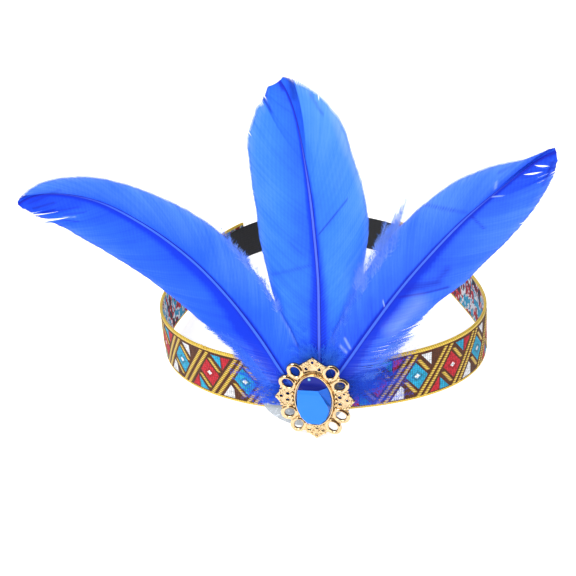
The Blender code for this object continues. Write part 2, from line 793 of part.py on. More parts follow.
def rest_on_floor(parts, brooch, ribbon):
    """Tip the headband back onto its three resting places, with the origin under its middle."""
    stand = bpy.data.objects.new("headband_rest", None)
    bpy.context.scene.collection.objects.link(stand)
    turn = Matrix.Rotation(-resting_tilt(brooch, ribbon), 4, "X")
    low, spots = lowest(parts, turn)
    middle = [(min(s[axis] for s in spots) + max(s[axis] for s in spots)) / 2 for axis in (0, 1)]
    stand.matrix_world = Matrix.Translation((-middle[0], -middle[1], -low.z)) @ turn
    for obj in parts:
        obj.parent = stand


def main():
    clear_scene()
    scene = bpy.context.scene
    parts = new_collection("feather_headband", scene.collection)
    loop = HeadLoop()
    ribbon = build_ribbon(loop, parts)
    elastic = build_elastic(loop, parts)
    pad = build_pad(loop, parts)
    feathers = [build_feather(loop, parts, *row) for row in FEATHERS]
    frame, stone = build_brooch(loop, parts)
    solids = [ribbon, elastic, pad, frame, stone] + feathers
    rest_on_floor(solids, frame, ribbon)


main()
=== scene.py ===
"""Dressed scene of the feather headband: ribbon, elastic, three feathers, pierced brooch and stone.

Pieces are drawn in millimetres in the band's own frame, as in the part's source: the band's lower edge lies
in the plane z = 0, the front faces -Y and +X is the wearer's left. REST sets them down as the part rests.
"""
import json
import math

import bmesh
import bpy
import numpy as np
from mathutils import Matrix, Vector

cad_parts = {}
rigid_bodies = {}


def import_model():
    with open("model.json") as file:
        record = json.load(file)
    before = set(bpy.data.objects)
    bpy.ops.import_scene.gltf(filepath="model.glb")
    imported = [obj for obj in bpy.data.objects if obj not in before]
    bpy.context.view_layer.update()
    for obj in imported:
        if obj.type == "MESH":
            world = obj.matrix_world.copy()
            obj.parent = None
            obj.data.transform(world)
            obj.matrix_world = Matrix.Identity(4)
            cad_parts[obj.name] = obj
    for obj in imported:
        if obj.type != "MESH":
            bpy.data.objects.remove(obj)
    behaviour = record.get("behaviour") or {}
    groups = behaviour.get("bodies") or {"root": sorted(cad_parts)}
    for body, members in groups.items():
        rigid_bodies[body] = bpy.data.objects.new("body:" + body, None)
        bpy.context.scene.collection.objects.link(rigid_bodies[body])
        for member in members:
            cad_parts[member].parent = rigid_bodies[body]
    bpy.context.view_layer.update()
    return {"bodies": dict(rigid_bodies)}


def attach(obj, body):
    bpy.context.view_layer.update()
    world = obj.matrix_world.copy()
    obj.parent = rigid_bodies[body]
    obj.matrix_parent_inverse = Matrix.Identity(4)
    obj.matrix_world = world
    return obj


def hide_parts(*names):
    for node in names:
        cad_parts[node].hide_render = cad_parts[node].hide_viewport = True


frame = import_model()

MM = 0.001
FRONT = np.array((0.0, -1.0, 0.0))

# How the band rests on the floor
REST_TILT = math.radians(3.1425)
REST_SHIFT = (15.7, 0.462, 4.178)
REST = Matrix.Scale(MM, 4) @ Matrix.Translation(REST_SHIFT) @ Matrix.Rotation(-REST_TILT, 4, "X")

# Head loop, the ribbon and the elastic, as in the part's source, in mm
LOOP_RADIUS = 84.6
LOOP_WAVES = (
    # waves, cosine share, sine share
    (2, -0.070, -0.0114),
    (3, 0.0055, -0.0604),
    (4, -0.0092, 0.0084),
    (5, -0.0083, -0.0032),
    (6, -0.0033, 0.0),
)
LEAN_WAVES = (
    # waves, cosine and sine of how far the upper edge leans outwards
    (0, 0.18, 0.0),
    (1, -0.70, 0.40),
    (2, -0.78, 0.45),
)
LOOP_SAMPLES = 1440
LEAN_START = 1.8
RIBBON_HEIGHT = 25.0
RIBBON_HALF_LENGTH = 218.0
EDGE_MIDDLE = -0.7
FIELD_HALF_THICK = 0.55
FIELD_RISE = (0.6, 24.3)
DIAMOND_RAISED = 0.16
CORNER_RAISED = 0.12
RING_SUNK = 0.05
ELASTIC_LAP = 55.0
ELASTIC_MIDDLE = -2.05
ELASTIC_HALF_THICK = 0.5
ELASTIC_BOTTOM = 2.7
ELASTIC_WIDTH = 20.0

# Knit of the elastic: lengthwise ribs, rounded edges, ripples along it, and a stitch's width and height
ELASTIC_RIB = 1.43
ELASTIC_RIB_DEPTH = 0.12
ELASTIC_EDGE = 0.6
ELASTIC_RIPPLE = 0.05
ELASTIC_RIPPLE_PITCH = 3.2
KNIT = (0.8, 0.7)

# Woven pattern: leaning double bars between cells that hold a diamond each, blue and red by turns
CELL_PITCH = 19.15
LEFT_PITCH = 18.5
FIRST_CELL = -35.5
PATTERN_MIDDLE = 12.0
BAR_LEAN = 0.675
BAR_SPREAD = 1.72
BAR_HALF_WIDTH = 1.17
SHORT_BAR_LEAN = -0.78
SHORT_BAR_PLACE = (3.05, 5.0)
SHORT_BAR_HALF_WIDTH = 1.2
SHORT_BAR_HALF_RISE = 3.2
DIAMOND_ALONG = 5.65
DIAMOND_SLOPE = 1.15
DIAMOND_REACH = 5.9
DIAMOND_DOT = 1.25
DIAMOND_RING = (1.7, 2.7)

# White, blue and red figures between the diamonds: the field they fill, and how far the blue ones reach
# from the cell's middle and the red and the lower white ones start
CORNER_SLOPE = 12.3
CORNER_RISE = 10.2
CORNER_ALONG = 5.4
BLUE_TO = 7.1
RED_FROM = 7.6
LOW_WHITE_FROM = 6.2

# Stitches outside, width and height, and floats inside
STITCH = (1.05, 0.95)
FLOAT_PITCH = 1.3
FLOAT_LENGTH = 3.6

# Ribbon colours
BROWN = (0.17, 0.050, 0.019)
DARK_BROWN = (0.040, 0.014, 0.008)
WHITE = (0.86, 0.87, 0.90)
BLUE = (0.020, 0.40, 0.66)
RED = (0.60, 0.018, 0.035)
GOLD = (0.98, 0.69, 0.10)
GOLD_SHADE = (0.13, 0.055, 0.008)
NAVY = (0.02, 0.03, 0.06)
FLOATS = (
    # random number above which a float has the colour
    (0.30, RED),
    (0.46, WHITE),
    (0.62, BLUE),
)

# Gold thread: bars and rolled edges of satin stitches, and the tied-off end
CELLS = range(-11, 15)
BAR_RIB = 1.0
BAR_SLANT = 0.22
BAR_SUNK = 0.18
BAR_RISE = (1.2, 23.0)
BAR_TALL = 0.38
SHORT_BAR_TALL = 0.34

# How far from the ribbon's ends the bars stay
BAR_END_GAP = 9
SHORT_BAR_END_GAP = 7

# Sections and loops of the thread
BAR_SECTION = np.array([
    # share of the half width, share of the height
    (-1.0, 0.0),
    (-0.82, 0.62),
    (-0.45, 0.93),
    (0.0, 1.0),
    (0.45, 0.93),
    (0.82, 0.62),
    (1.0, 0.0),
    (0.0, -0.2),
])
EDGE_RIB = 1.15
EDGE_HALF_DEPTH = 0.72
EDGES = (
    # lowest and highest, depth of the ribs
    (23.2, 25.0, 0.12),
    (0.0, 1.5, 0.16),
)
KNOT_PLACE = -56.0
KNOT_WIRE = 0.27
KNOT_LOOPS = (
    # shift along the edge, lean, size, how far out
    (-1.1, -0.7, 0.75, 0.3),
    (0.1, 0.1, 0.95, 0.7),
    (1.2, 0.8, 0.7, 0.2),
)


class Batch:
    """Points, faces and marks on the points, gathered for one mesh."""

    def __init__(self):
        self.points = []
        self.faces = []
        self.marks = []
        self.count = 0

    def add(self, points, *faces, marks=None):
        """Add points (n, 3), arrays of faces by point number and marks (n, 3) on the points."""
        points = np.asarray(points, float).reshape(-1, 3)
        marks = np.zeros_like(points) if marks is None else np.asarray(marks, float).reshape(-1, 3)
        self.points.append(points)
        self.marks.append(marks)
        for some in faces:
            self.faces += (np.asarray(some) + self.count).tolist()
        self.count += len(points)

    def piece(self, name, look, nodes=(), smooth=True, place=REST):
        """The finished mesh object, on its body and in place of its CAD nodes."""
        mesh = bpy.data.meshes.new(name)
        mesh.from_pydata(np.concatenate(self.points).tolist(), [], self.faces)
        mark = mesh.attributes.new("mark", "FLOAT_VECTOR", "POINT")
        mark.data.foreach_set("vector", np.concatenate(self.marks).ravel())
        mesh.transform(place)
        mesh.materials.append(look)
        shape = bmesh.new()
        shape.from_mesh(mesh)
        bmesh.ops.recalc_face_normals(shape, faces=shape.faces)
        shape.to_mesh(mesh)
        shape.free()
        if smooth:
            mesh.shade_smooth()
            mesh.set_sharp_from_angle(angle=math.radians(55))
        mesh.update()
        obj = add_object(name, mesh)
        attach(obj, next(iter(frame["bodies"])))
        if nodes:
            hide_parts(*nodes)
        return obj


def add_object(name, data):
    """A new object in the scene."""
    obj = bpy.data.objects.new(name, data)
    bpy.context.scene.collection.objects.link(obj)
    return obj


def grid_faces(rows, columns, ring_rows=False, ring_columns=False):
    """Four-sided faces of a grid of points, closed in either direction if wanted."""
    across = np.arange(columns if ring_columns else columns - 1)
    down = np.arange(rows if ring_rows else rows - 1)
    row, column = np.meshgrid(down, across, indexing="ij")
    after_row = (row + 1) % rows
    after_column = (column + 1) % columns
    corners = (
        row * columns + column,
        after_row * columns + column,
        after_row * columns + after_column,
        row * columns + after_column,
    )
    return np.stack(corners, axis=-1).reshape(-1, 4)


def tube(batch, grid, marks=None):
    """Add a closed tube: a grid (sections, around, 3), with a fan over each end."""
    sections, around = grid.shape[:2]
    marks = np.zeros_like(grid) if marks is None else np.broadcast_to(marks, grid.shape)
    points = np.concatenate((grid.reshape(-1, 3), grid[[0, -1]].mean(axis=1)))
    point_marks = np.concatenate((marks.reshape(-1, 3), marks[[0, -1]].mean(axis=1)))
    here = np.arange(around)
    after = (here + 1) % around
    last = (sections - 1) * around
    near_fan = stacked(here, after, np.full(around, sections * around))
    far_fan = stacked(after + last, here + last, np.full(around, sections * around + 1))
    batch.add(points, grid_faces(sections, around, ring_columns=True), near_fan, far_fan, marks=point_marks)


def once_round(count):
    """Even angles once round."""
    return np.linspace(0, 2 * math.pi, count, endpoint=False)


def stacked(*parts):
    """Arrays of one shape side by side along a new last axis."""
    return np.stack(parts, axis=-1)


def unit(vectors):
    """Vectors scaled to length 1."""
    return vectors / np.maximum(np.linalg.norm(vectors, axis=-1, keepdims=True), 1e-9)


def waves(table, angle):
    """Sum of the cosine and sine waves of a table at an angle."""
    return sum(c * np.cos(n * angle) + s * np.sin(n * angle) for n, c, s in table)


class HeadLoop:
    """The band's outer line at its lower edge, read by the length along it from the front."""

    def __init__(self):
        front = math.radians(270)
        angles = np.linspace(front - math.pi, front + math.pi, LOOP_SAMPLES + 1)
        radius = LOOP_RADIUS * (1 + waves(LOOP_WAVES, angles))
        self.x = radius * np.cos(angles)
        self.y = radius * np.sin(angles)
        steps = np.hypot(np.diff(self.x), np.diff(self.y))
        length = np.concatenate(([0.0], np.cumsum(steps)))
        self.angle = angles
        self.length = length - length[LOOP_SAMPLES // 2]
        self.girth = length[-1]
        self.front = float(np.min(self.y))

    def _place(self, along):
        along = (along + self.girth / 2) % self.girth - self.girth / 2
        spot = [np.interp(along, self.length, line) for line in (self.x, self.y, self.angle)]
        return np.stack(spot[:2], axis=-1), spot[2]

    def wall(self, along, height, offset):
        """Points of the leaning band wall, at offsets outwards from its outer face."""
        along, height, offset = np.broadcast_arrays(along, height, offset)
        here, angle = self._place(along)
        ahead = self._place(along + 1.0)[0] - self._place(along - 1.0)[0]
        ahead /= np.linalg.norm(ahead, axis=-1, keepdims=True)
        outward = stacked(ahead[..., 1], -ahead[..., 0])
        share = np.maximum(0.0, height - LEAN_START) / (RIBBON_HEIGHT - LEAN_START)
        out = offset + waves(LEAN_WAVES, angle) * share
        spot = here + outward * out[..., None]
        return np.concatenate((spot, height[..., None]), axis=-1)

    def depth_at(self, x, height):
        """How far back the front wall's outer face lies at places across it."""
        near = np.abs(self.length) < self.girth / 4
        return self.wall(np.interp(x, self.x[near], self.length[near]), height, 0.0)[..., 1]


LOOP = HeadLoop()


class Shade:
    """A number on the surface in a material, written with plain sums and products."""

    def __init__(self, tree, socket):
        self.tree = tree
        self.socket = socket

    def math(self, operation, *others):
        """A node's result for this number and others."""
        return add_node(self.tree, "ShaderNodeMath", (self, *others), operation=operation)

    def __add__(self, other):
        return self.math("ADD", other)

    def __sub__(self, other):
        return self.math("SUBTRACT", other)

    def __rsub__(self, other):
        return self.math("MULTIPLY", -1.0).math("ADD", other)

    def __mul__(self, other):
        return self.math("MULTIPLY", other)

    def __truediv__(self, other):
        return self.math("DIVIDE", other)

    __radd__ = __add__
    __rmul__ = __mul__


def join(entry, value):
    """Give an input a link or a plain value."""
    if isinstance(value, Shade):
        value.tree.links.new(value.socket, entry)
    else:
        entry.default_value = value


def add_node(tree, kind, entries, out=0, **settings):
    """One result of a new node; its entries, by name or in order, get links or plain values."""
    node = tree.nodes.new(kind)
    for name, value in settings.items():
        setattr(node, name, value)
    for entry, value in entries.items() if isinstance(entries, dict) else enumerate(entries):
        join(node.inputs[entry], value)
    return Shade(tree, node.outputs[out])


def absolute(value):
    """A number without its sign; like the next five, it works on nodes and on arrays."""
    return value.math("ABSOLUTE") if isinstance(value, Shade) else np.abs(value)


def clamped(value):
    """Kept between 0 and 1."""
    if isinstance(value, Shade):
        return value.math("MINIMUM", 1.0).math("MAXIMUM", 0.0)
    return np.clip(value, 0.0, 1.0)


def rounded_down(value):
    """The whole number below."""
    return value.math("FLOOR") if isinstance(value, Shade) else np.floor(value)


def wrapped(value, period):
    """What is left over a whole number of periods."""
    return value.math("FLOORED_MODULO", period) if isinstance(value, Shade) else np.mod(value, period)


def above(value, edge, soft=0.15):
    """1 where a value is above an edge, with a soft step as wide as soft."""
    return clamped((value - edge) / soft + 0.5)


def below(value, edge, soft=0.15):
    """1 where a value is below an edge, with a soft step as wide as soft."""
    return above(edge - value, 0.0, soft)


# Pitch of a wave node's bands at scale 1
BAND_PITCH = 0.314


class Look:
    """A material whose colour, roughness and bump come from nodes."""

    def __init__(self, name, roughness, metallic=0.0, **sockets):
        self.material = bpy.data.materials.new(name)
        self.material.use_nodes = True
        self.tree = self.material.node_tree
        self.shader = self.tree.nodes["Principled BSDF"]
        for socket, value in {"Roughness": roughness, "Metallic": metallic, **sockets}.items():
            self.set(socket.replace("_", " "), value)

    def parts(self, place):
        """The three numbers of a place."""
        node = self.tree.nodes.new("ShaderNodeSeparateXYZ")
        join(node.inputs[0], place)
        return [Shade(self.tree, out) for out in node.outputs]

    def mark(self):
        """The three marks on the surface's points."""
        return self.parts(add_node(self.tree, "ShaderNodeAttribute", {}, "Vector", attribute_name="mark"))

    def spot(self, scales=(1.0, 1.0, 1.0)):
        """The place on the object in mm, stretched along each axis."""
        parts = self.parts(add_node(self.tree, "ShaderNodeTexCoord", {}, "Object"))
        return self.vector(*[part * (k / MM) for part, k in zip(parts, scales)])

    def vector(self, *values):
        """A place from three numbers."""
        return add_node(self.tree, "ShaderNodeCombineXYZ", values)

    def noise(self, place, scale=1.0, detail=2.0):
        """Soft noise from about 0 to 1 at a place."""
        entries = {"Vector": place, "Scale": scale, "Detail": detail}
        return add_node(self.tree, "ShaderNodeTexNoise", entries, "Fac")

    def bands(self, place, pitch, bend):
        """Soft bands from 0 to 1 across the first axis of a place, bent by some radians of noise."""
        entries = {
            "Vector": place,
            "Scale": BAND_PITCH / pitch,
            "Distortion": bend,
            "Detail": 0.0,
            "Detail Scale": 0.2,
        }
        return add_node(self.tree, "ShaderNodeTexWave", entries, "Fac")

    def hash(self, place):
        """An even random number for each whole-numbered place."""
        return add_node(self.tree, "ShaderNodeTexWhiteNoise", {"Vector": place}, "Value")

    def mix(self, share, first, second):
        """The second colour over the first by a share."""
        first, second = [c if isinstance(c, Shade) else (*c, 1.0) for c in (first, second)]
        entries = {0: share, 6: first, 7: second}
        return add_node(self.tree, "ShaderNodeMix", entries, 2, data_type="RGBA")

    def brighter(self, colour, factor):
        """A colour times a number."""
        entries = {0: colour, "Scale": factor}
        return add_node(self.tree, "ShaderNodeVectorMath", entries, operation="SCALE")

    def set(self, socket, value):
        """Give the shader's own socket a value or a link."""
        join(self.shader.inputs[socket], value)

    def bump(self, height, millimetres):
        """Bump from a height of 0 to 1."""
        entries = {"Strength": 1.0, "Distance": millimetres * MM, "Height": height}
        self.set("Normal", add_node(self.tree, "ShaderNodeBump", entries))


def even_length(along):
    """Length along the ribbon as if it were woven evenly; its left half is woven a little tighter."""
    far = along - FIRST_CELL
    return (far + absolute(far)) * 0.5 + (far - absolute(far)) * (0.5 * CELL_PITCH / LEFT_PITCH)


def along_at(number):
    """Where a cell's middle is along the ribbon; a half number is between two cells."""
    return FIRST_CELL + number * (CELL_PITCH if number > 0 else LEFT_PITCH)


def motif(along, height):
    """Shares of the woven figures at a length along the ribbon and a height, in mm."""
    rise = height - PATTERN_MIDDLE
    skewed = even_length(along) - BAR_LEAN * rise + CELL_PITCH / 2
    number = rounded_down(skewed / CELL_PITCH)
    across = skewed - number * CELL_PITCH - CELL_PITCH / 2
    x = across + BAR_LEAN * rise
    slope = rise + DIAMOND_SLOPE * x
    odd = above(wrapped(number, 2.0), 0.5)
    diamond = below(absolute(across), DIAMOND_ALONG) * below(absolute(slope), DIAMOND_REACH)
    star = absolute(x) * 0.9 + absolute(rise)
    corner = above(absolute(slope), CORNER_SLOPE) * below(absolute(rise), CORNER_RISE)
    corner = corner * below(absolute(across), CORNER_ALONG)
    outer = above(absolute(x), RED_FROM)
    inner = below(absolute(x), BLUE_TO)
    upper = above(rise, 0.0)
    low_white = above(absolute(x), LOW_WHITE_FROM)
    return {
        "odd": odd,
        "diamond": diamond,
        "dot": diamond * below(star, DIAMOND_DOT),
        "ring": diamond * above(star, DIAMOND_RING[0]) * below(star, DIAMOND_RING[1]),
        "blue": corner * inner * odd,
        "red": corner * outer * odd,
        "white": corner * (1.0 - odd) * (upper * inner + (1.0 - upper) * low_white),
    }


def stitches(along, height):
    """Rounded stitches in columns, from 0 between them to 1 on them."""
    column = rounded_down(along / STITCH[0])
    across = wrapped(along, STITCH[0]) / STITCH[0] * 2 - 1
    up = wrapped(height + column * (STITCH[1] / 2), STITCH[1]) / STITCH[1] * 2 - 1
    return clamped(1.25 - across * across * 0.8 - up * up * 0.7)


def ribbon_look():
    """Woven figures outside and loose floats inside."""
    look = Look("woven_ribbon", 0.70, Specular_IOR_Level=0.22, Sheen_Weight=0.05, Sheen_Roughness=0.5)
    along, height, outside = look.mark()
    figure = motif(along, height)
    stitch = stitches(along, height)
    ground = look.mix(look.noise(look.vector(along, height * 3.0, 0.0), 0.9), DARK_BROWN, BROWN)
    colour = look.mix(figure["diamond"], ground, look.mix(figure["odd"], BLUE, RED))
    colour = look.mix(figure["ring"] * 0.45, colour, DARK_BROWN)
    colour = look.mix(figure["dot"], colour, WHITE)
    for name, tint in (("white", WHITE), ("blue", BLUE), ("red", RED)):
        colour = look.mix(figure[name], colour, tint)
    cell = look.vector(rounded_down(along / STITCH[0]), rounded_down(height / STITCH[1]), 9.0)
    # Darker between stitches: painted shade; the random part is each stitch's own tone
    colour = look.brighter(colour, 0.16 + stitch * 0.66 + look.hash(cell) * 0.38)
    column = rounded_down(along / FLOAT_PITCH)
    shifted = height + look.hash(look.vector(column, 7.0, 0.0)) * 5.0
    dash = shifted / FLOAT_LENGTH
    pick = look.hash(look.vector(column, rounded_down(dash), 3.0)) * 0.42
    pick = pick + look.noise(look.vector(along, height, 5.0), 0.13, 1.0) * 1.5 - 0.44
    dash_gap = absolute(wrapped(dash, 1.0) * 2.0 - 1.0)
    float_gap = clamped(1.7 - absolute(wrapped(along, FLOAT_PITCH) * (2 / FLOAT_PITCH) - 1.0) * 1.5)
    float_gap = float_gap * clamped(4.5 - dash_gap * 4.5)
    inside = NAVY
    for edge, tint in FLOATS:
        inside = look.mix(above(pick, edge, 0.02), inside, tint)
    inside = look.brighter(inside, 0.20 + float_gap * 0.80)
    look.set("Base Color", look.mix(outside, inside, colour))
    look.bump(stitch * outside + float_gap * (1.0 - outside), 0.22)
    return look.material


def build_ribbon():
    """The woven band: figures raised on its outer face, loose floats on the inner one."""
    along = np.linspace(-RIBBON_HALF_LENGTH, RIBBON_HALF_LENGTH, 560)
    length, rise = np.meshgrid(along, np.linspace(*FIELD_RISE, 34), indexing="ij")
    figure = motif(length, rise)
    corners = figure["white"] + figure["blue"] + figure["red"]
    raised = DIAMOND_RAISED * figure["diamond"] + CORNER_RAISED * corners - RING_SUNK * figure["ring"]
    outer = EDGE_MIDDLE + FIELD_HALF_THICK + raised
    outer_wall = LOOP.wall(length, rise, outer)
    outer_marks = stacked(length, rise, np.ones_like(rise))
    length, rise = np.meshgrid(along, np.linspace(*FIELD_RISE[::-1], 12), indexing="ij")
    inner = EDGE_MIDDLE - FIELD_HALF_THICK - 0.05 * np.sin(np.floor(length / 0.9) * 2.4 + rise * 1.6)
    inner_wall = LOOP.wall(length, rise, inner)
    inner_marks = stacked(length, rise, np.zeros_like(rise))
    batch = Batch()
    grid = np.concatenate((outer_wall, inner_wall), axis=1)
    tube(batch, grid, np.concatenate((outer_marks, inner_marks), axis=1))
    return batch.piece("ribbon_weave", ribbon_look(), ["ribbon_band"])


def gold_look():
    """Bright metal thread, darker between its ribs and at the sides of its bars as painted shade, with
    specks of its own.
    """
    look = Look("gold_thread", 0.40, metallic=0.25, Specular_IOR_Level=0.3)
    rib, along, height = look.mark()
    speck = look.noise(look.vector(along, height * 2.0, 0.0), 1.4)
    tone = clamped(rib * rib * 1.2 + speck * 0.4 - 0.26)
    # Painted shade between the ribs and at the bars' sides
    look.set("Base Color", look.mix(tone, GOLD_SHADE, GOLD))
    look.bump(look.noise(look.vector(along * 6.0, height, 1.0), 1.0), 0.08)
    return look.material


def add_bar(batch, place, lean, rise_from, rise_to, half_width, tall):
    """A raised bar of satin stitches: each rib runs along the ribbon, one above another."""
    count = max(4, round((rise_to - rise_from) / BAR_RIB * 4) + 1)
    rise = np.linspace(rise_from, rise_to, count)
    across, profile = BAR_SECTION.T
    rise_grid, across_grid = np.meshgrid(rise, across, indexing="ij")
    swell_grid = np.abs(np.sin(math.pi * (rise_grid + BAR_SLANT * across_grid) / BAR_RIB)) ** 0.8
    width = half_width * (0.9 + 0.1 * swell_grid)
    along = place + lean * (rise_grid - PATTERN_MIDDLE) + across_grid * width
    out = tall * profile * (0.55 + 0.45 * swell_grid) - BAR_SUNK
    # First mark: low between the ribs and at the bar's sides, for painted shade
    marks = stacked(swell_grid * clamped(profile), along, rise_grid)
    tube(batch, LOOP.wall(along, rise_grid, out), marks)


def add_edge(batch, low, high, rib):
    """A rolled gold edge all along the ribbon, with slanting ribs."""
    along = np.arange(-RIBBON_HALF_LENGTH, RIBBON_HALF_LENGTH + 0.1, EDGE_RIB / 3)
    turn = once_round(9)
    length, angle = np.meshgrid(along, turn, indexing="ij")
    swell = np.abs(np.sin(math.pi * (length + 0.5 * np.sin(angle)) / EDGE_RIB))
    size = 1 - rib * (1 - swell)
    rounded = [np.sign(w) * np.abs(w) ** 0.75 for w in (np.cos(angle), np.sin(angle))]
    out = EDGE_MIDDLE + EDGE_HALF_DEPTH * rounded[0] * size
    height = (low + high) / 2 + (high - low) / 2 * rounded[1] * size
    # First mark: low between the ribs, for painted shade
    marks = stacked(0.45 + 0.55 * swell, length, height)
    tube(batch, LOOP.wall(length, height, out), marks)


def add_knot(batch):
    """The tied-off end of the gold thread: three small loops on the upper edge."""
    turn = once_round(20)
    around = once_round(8)
    for shift, lean, size, out in KNOT_LOOPS:
        rise = size * (1 + np.sin(turn))
        along = KNOT_PLACE + shift + lean * rise * 0.4 + size * 0.7 * np.cos(turn)
        path = LOOP.wall(along, RIBBON_HEIGHT - 0.5 + rise, out + 0.3 * np.cos(turn))
        ahead = unit(np.roll(path, -1, axis=0) - np.roll(path, 1, axis=0))
        beside = unit(np.cross(ahead, FRONT))
        front = np.cross(beside, ahead)
        swing = beside[:, None] * np.cos(around)[:, None] + front[:, None] * np.sin(around)[:, None]
        grid = path[:, None] + KNOT_WIRE * swing
        marks = np.broadcast_to(np.array((0.8, 0.0, 0.0)), grid.shape)
        faces = grid_faces(len(turn), len(around), ring_rows=True, ring_columns=True)
        batch.add(grid, faces, marks=marks)


def build_gold():
    """The gold edges and the gold bars between the cells."""
    batch = Batch()
    for edge in EDGES:
        add_edge(batch, *edge)
    add_knot(batch)
    for number in CELLS:
        middle = along_at(number)
        for spread in (-BAR_SPREAD, BAR_SPREAD):
            place = along_at(number + 0.5) + spread
            if abs(place) < RIBBON_HALF_LENGTH - BAR_END_GAP:
                add_bar(batch, place, BAR_LEAN, *BAR_RISE, BAR_HALF_WIDTH, BAR_TALL)
        if abs(middle) > RIBBON_HALF_LENGTH - SHORT_BAR_END_GAP:
            continue
        for way in (1, -1):
            x, z = SHORT_BAR_PLACE
            centre = PATTERN_MIDDLE + way * z
            place = middle + way * (x - SHORT_BAR_LEAN * z)
            low, high = centre - SHORT_BAR_HALF_RISE, centre + SHORT_BAR_HALF_RISE
            add_bar(batch, place, SHORT_BAR_LEAN, low, high, SHORT_BAR_HALF_WIDTH, SHORT_BAR_TALL)
    return batch.piece("ribbon_gold_thread", gold_look())


def elastic_look():
    """Black knitted elastic with lengthwise ribs, darker between its stitches and in the grooves between
    its ribs as painted shade.
    """
    look = Look("black_elastic", 0.85, Specular_IOR_Level=0.3, Sheen_Weight=0.08, Sheen_Roughness=0.4)
    along, height, rib = look.mark()
    across = wrapped(along, KNIT[0]) / (KNIT[0] / 2) - 1
    row = wrapped(height + absolute(across) * (KNIT[1] / 2), KNIT[1]) / (KNIT[1] / 2) - 1
    knit = clamped(1.2 - row * row * 0.8 - absolute(across) * 0.35)
    speck = look.noise(look.vector(along, height, 0.0), 1.3)
    # Painted shade between the knit stitches and in the rib grooves; the specks are the yarn's own tone
    tone = clamped(knit * 0.55 + rib * 0.2 + speck * 0.35)
    look.set("Base Color", look.mix(tone, (0.005, 0.005, 0.006), (0.026, 0.026, 0.028)))
    look.bump(knit, 0.18)
    return look.material


def build_elastic():
    """The elastic from one lap round the back to the other."""
    start = RIBBON_HALF_LENGTH - ELASTIC_LAP
    along = np.arange(start, LOOP.girth - start, 0.9)
    height = np.linspace(ELASTIC_BOTTOM, ELASTIC_BOTTOM + ELASTIC_WIDTH, 57)
    length, rise = np.meshgrid(along, height, indexing="ij")
    rib = np.abs(np.sin(math.pi * (rise - ELASTIC_BOTTOM) / ELASTIC_RIB))
    near_edge = np.minimum(rise - ELASTIC_BOTTOM, ELASTIC_BOTTOM + ELASTIC_WIDTH - rise)
    round_off = 1 - 0.5 * clamped(1 - near_edge / ELASTIC_EDGE) ** 2
    ripple = ELASTIC_RIPPLE * np.sin(length * 2 * math.pi / ELASTIC_RIPPLE_PITCH)
    half = (ELASTIC_HALF_THICK - ELASTIC_RIB_DEPTH * (1 - rib)) * round_off
    outer = LOOP.wall(length, rise, ELASTIC_MIDDLE + half + ripple)
    inner = LOOP.wall(length, rise, ELASTIC_MIDDLE - half + ripple)[:, ::-1]
    marks = stacked(length, rise, rib)
    batch = Batch()
    tube(batch, np.concatenate((outer, inner), axis=1), np.concatenate((marks, marks[:, ::-1]), axis=1))
    return batch.piece("elastic_knit", elastic_look(), ["elastic_back"])


# Clear pad
PAD_CENTRE = (-9.5, 8.4)
PAD_HALF = (19.6, 15.6)
PAD_HALF_THICK = 0.45
PAD_GAP = 0.42
PAD_RIM = (
    # share of the half size, share of the half thickness
    (0.02, 1.0),
    (0.3, 1.0),
    (0.55, 1.0),
    (0.75, 1.0),
    (0.88, 0.97),
    (0.96, 0.85),
    (0.995, 0.5),
    (1.0, 0.0),
)


def pad_look():
    """Cloudy clear plastic."""
    look = Look("cloudy_pad", 0.22, IOR=1.46)
    cloud = look.noise(look.spot(), 0.35, 4.0)
    fleck = above(look.noise(look.spot(), 0.9, 3.0), 0.60, 0.05)
    colour = look.mix(cloud, (0.31, 0.36, 0.41), (0.55, 0.60, 0.64))
    look.set("Base Color", look.mix(fleck * 0.5, colour, (0.80, 0.84, 0.88)))
    look.set("Alpha", clamped(0.48 + cloud * 0.30 + fleck * 0.20))
    look.bump(cloud, 0.3)
    return look.material


def build_pad():
    """The clear oval pad, bent to the ribbon's front, with a rounded rim."""
    turn = once_round(96)
    rings = []
    for side in (1, -1):
        for size, depth in PAD_RIM[::side]:
            wobble = 1 + 0.006 * np.sin(3 * turn + 0.6) + 0.004 * np.sin(7 * turn)
            x = PAD_CENTRE[0] + PAD_HALF[0] * size * np.cos(turn) * wobble
            z = PAD_CENTRE[1] + PAD_HALF[1] * size * np.sin(turn) * wobble
            y = LOOP.depth_at(x, z) - PAD_GAP - PAD_HALF_THICK * (1 + side * depth)
            rings.append(stacked(x, y, z))
    batch = Batch()
    tube(batch, np.array(rings))
    return batch.piece("cloudy_pad", pad_look(), ["clear_pad"])


# Feathers, as in the part's source, in mm
ROOT_DEPTH = 2.9
LEAN_HEIGHT = 20.0
LEAN_EASE = 20.0
QUILL_HALF_WIDTH = 0.8
SHAFT_TIP_HALF_WIDTH = 0.4
SHAFT_THIN = 45.0
SHAFT_FADE = 50.0
SHAFT_LIFT = 0.15
GROOVE_DEPTH = 0.42
GROOVE_HALF_ANGLE = 0.42
# Shares of the half width across the shaft and out of the front
SHAFT_SECTION = (1.05, 0.85)
SWEEP_BACK = 0.8 / 1000
LEAST_VANE = 0.6
DOWN_REACH = 7.0
DOWN_LENGTH = 38.0
TIP_TAPER = 0.92
REACH_GROWTH = 0.8
BARB_BOW = 0.09
CURL_START = 112.0
CURL_END = 141.0
SPLIT_FADE = 1.6

# Barbs
BARE_QUILL = 4.0
BARB_STEP = 0.40
BARB_POINTS = 24
BARB_COVER = 0.80
BARB_MOST_HALF_WIDTH = 0.36
BARB_THICK = 0.12

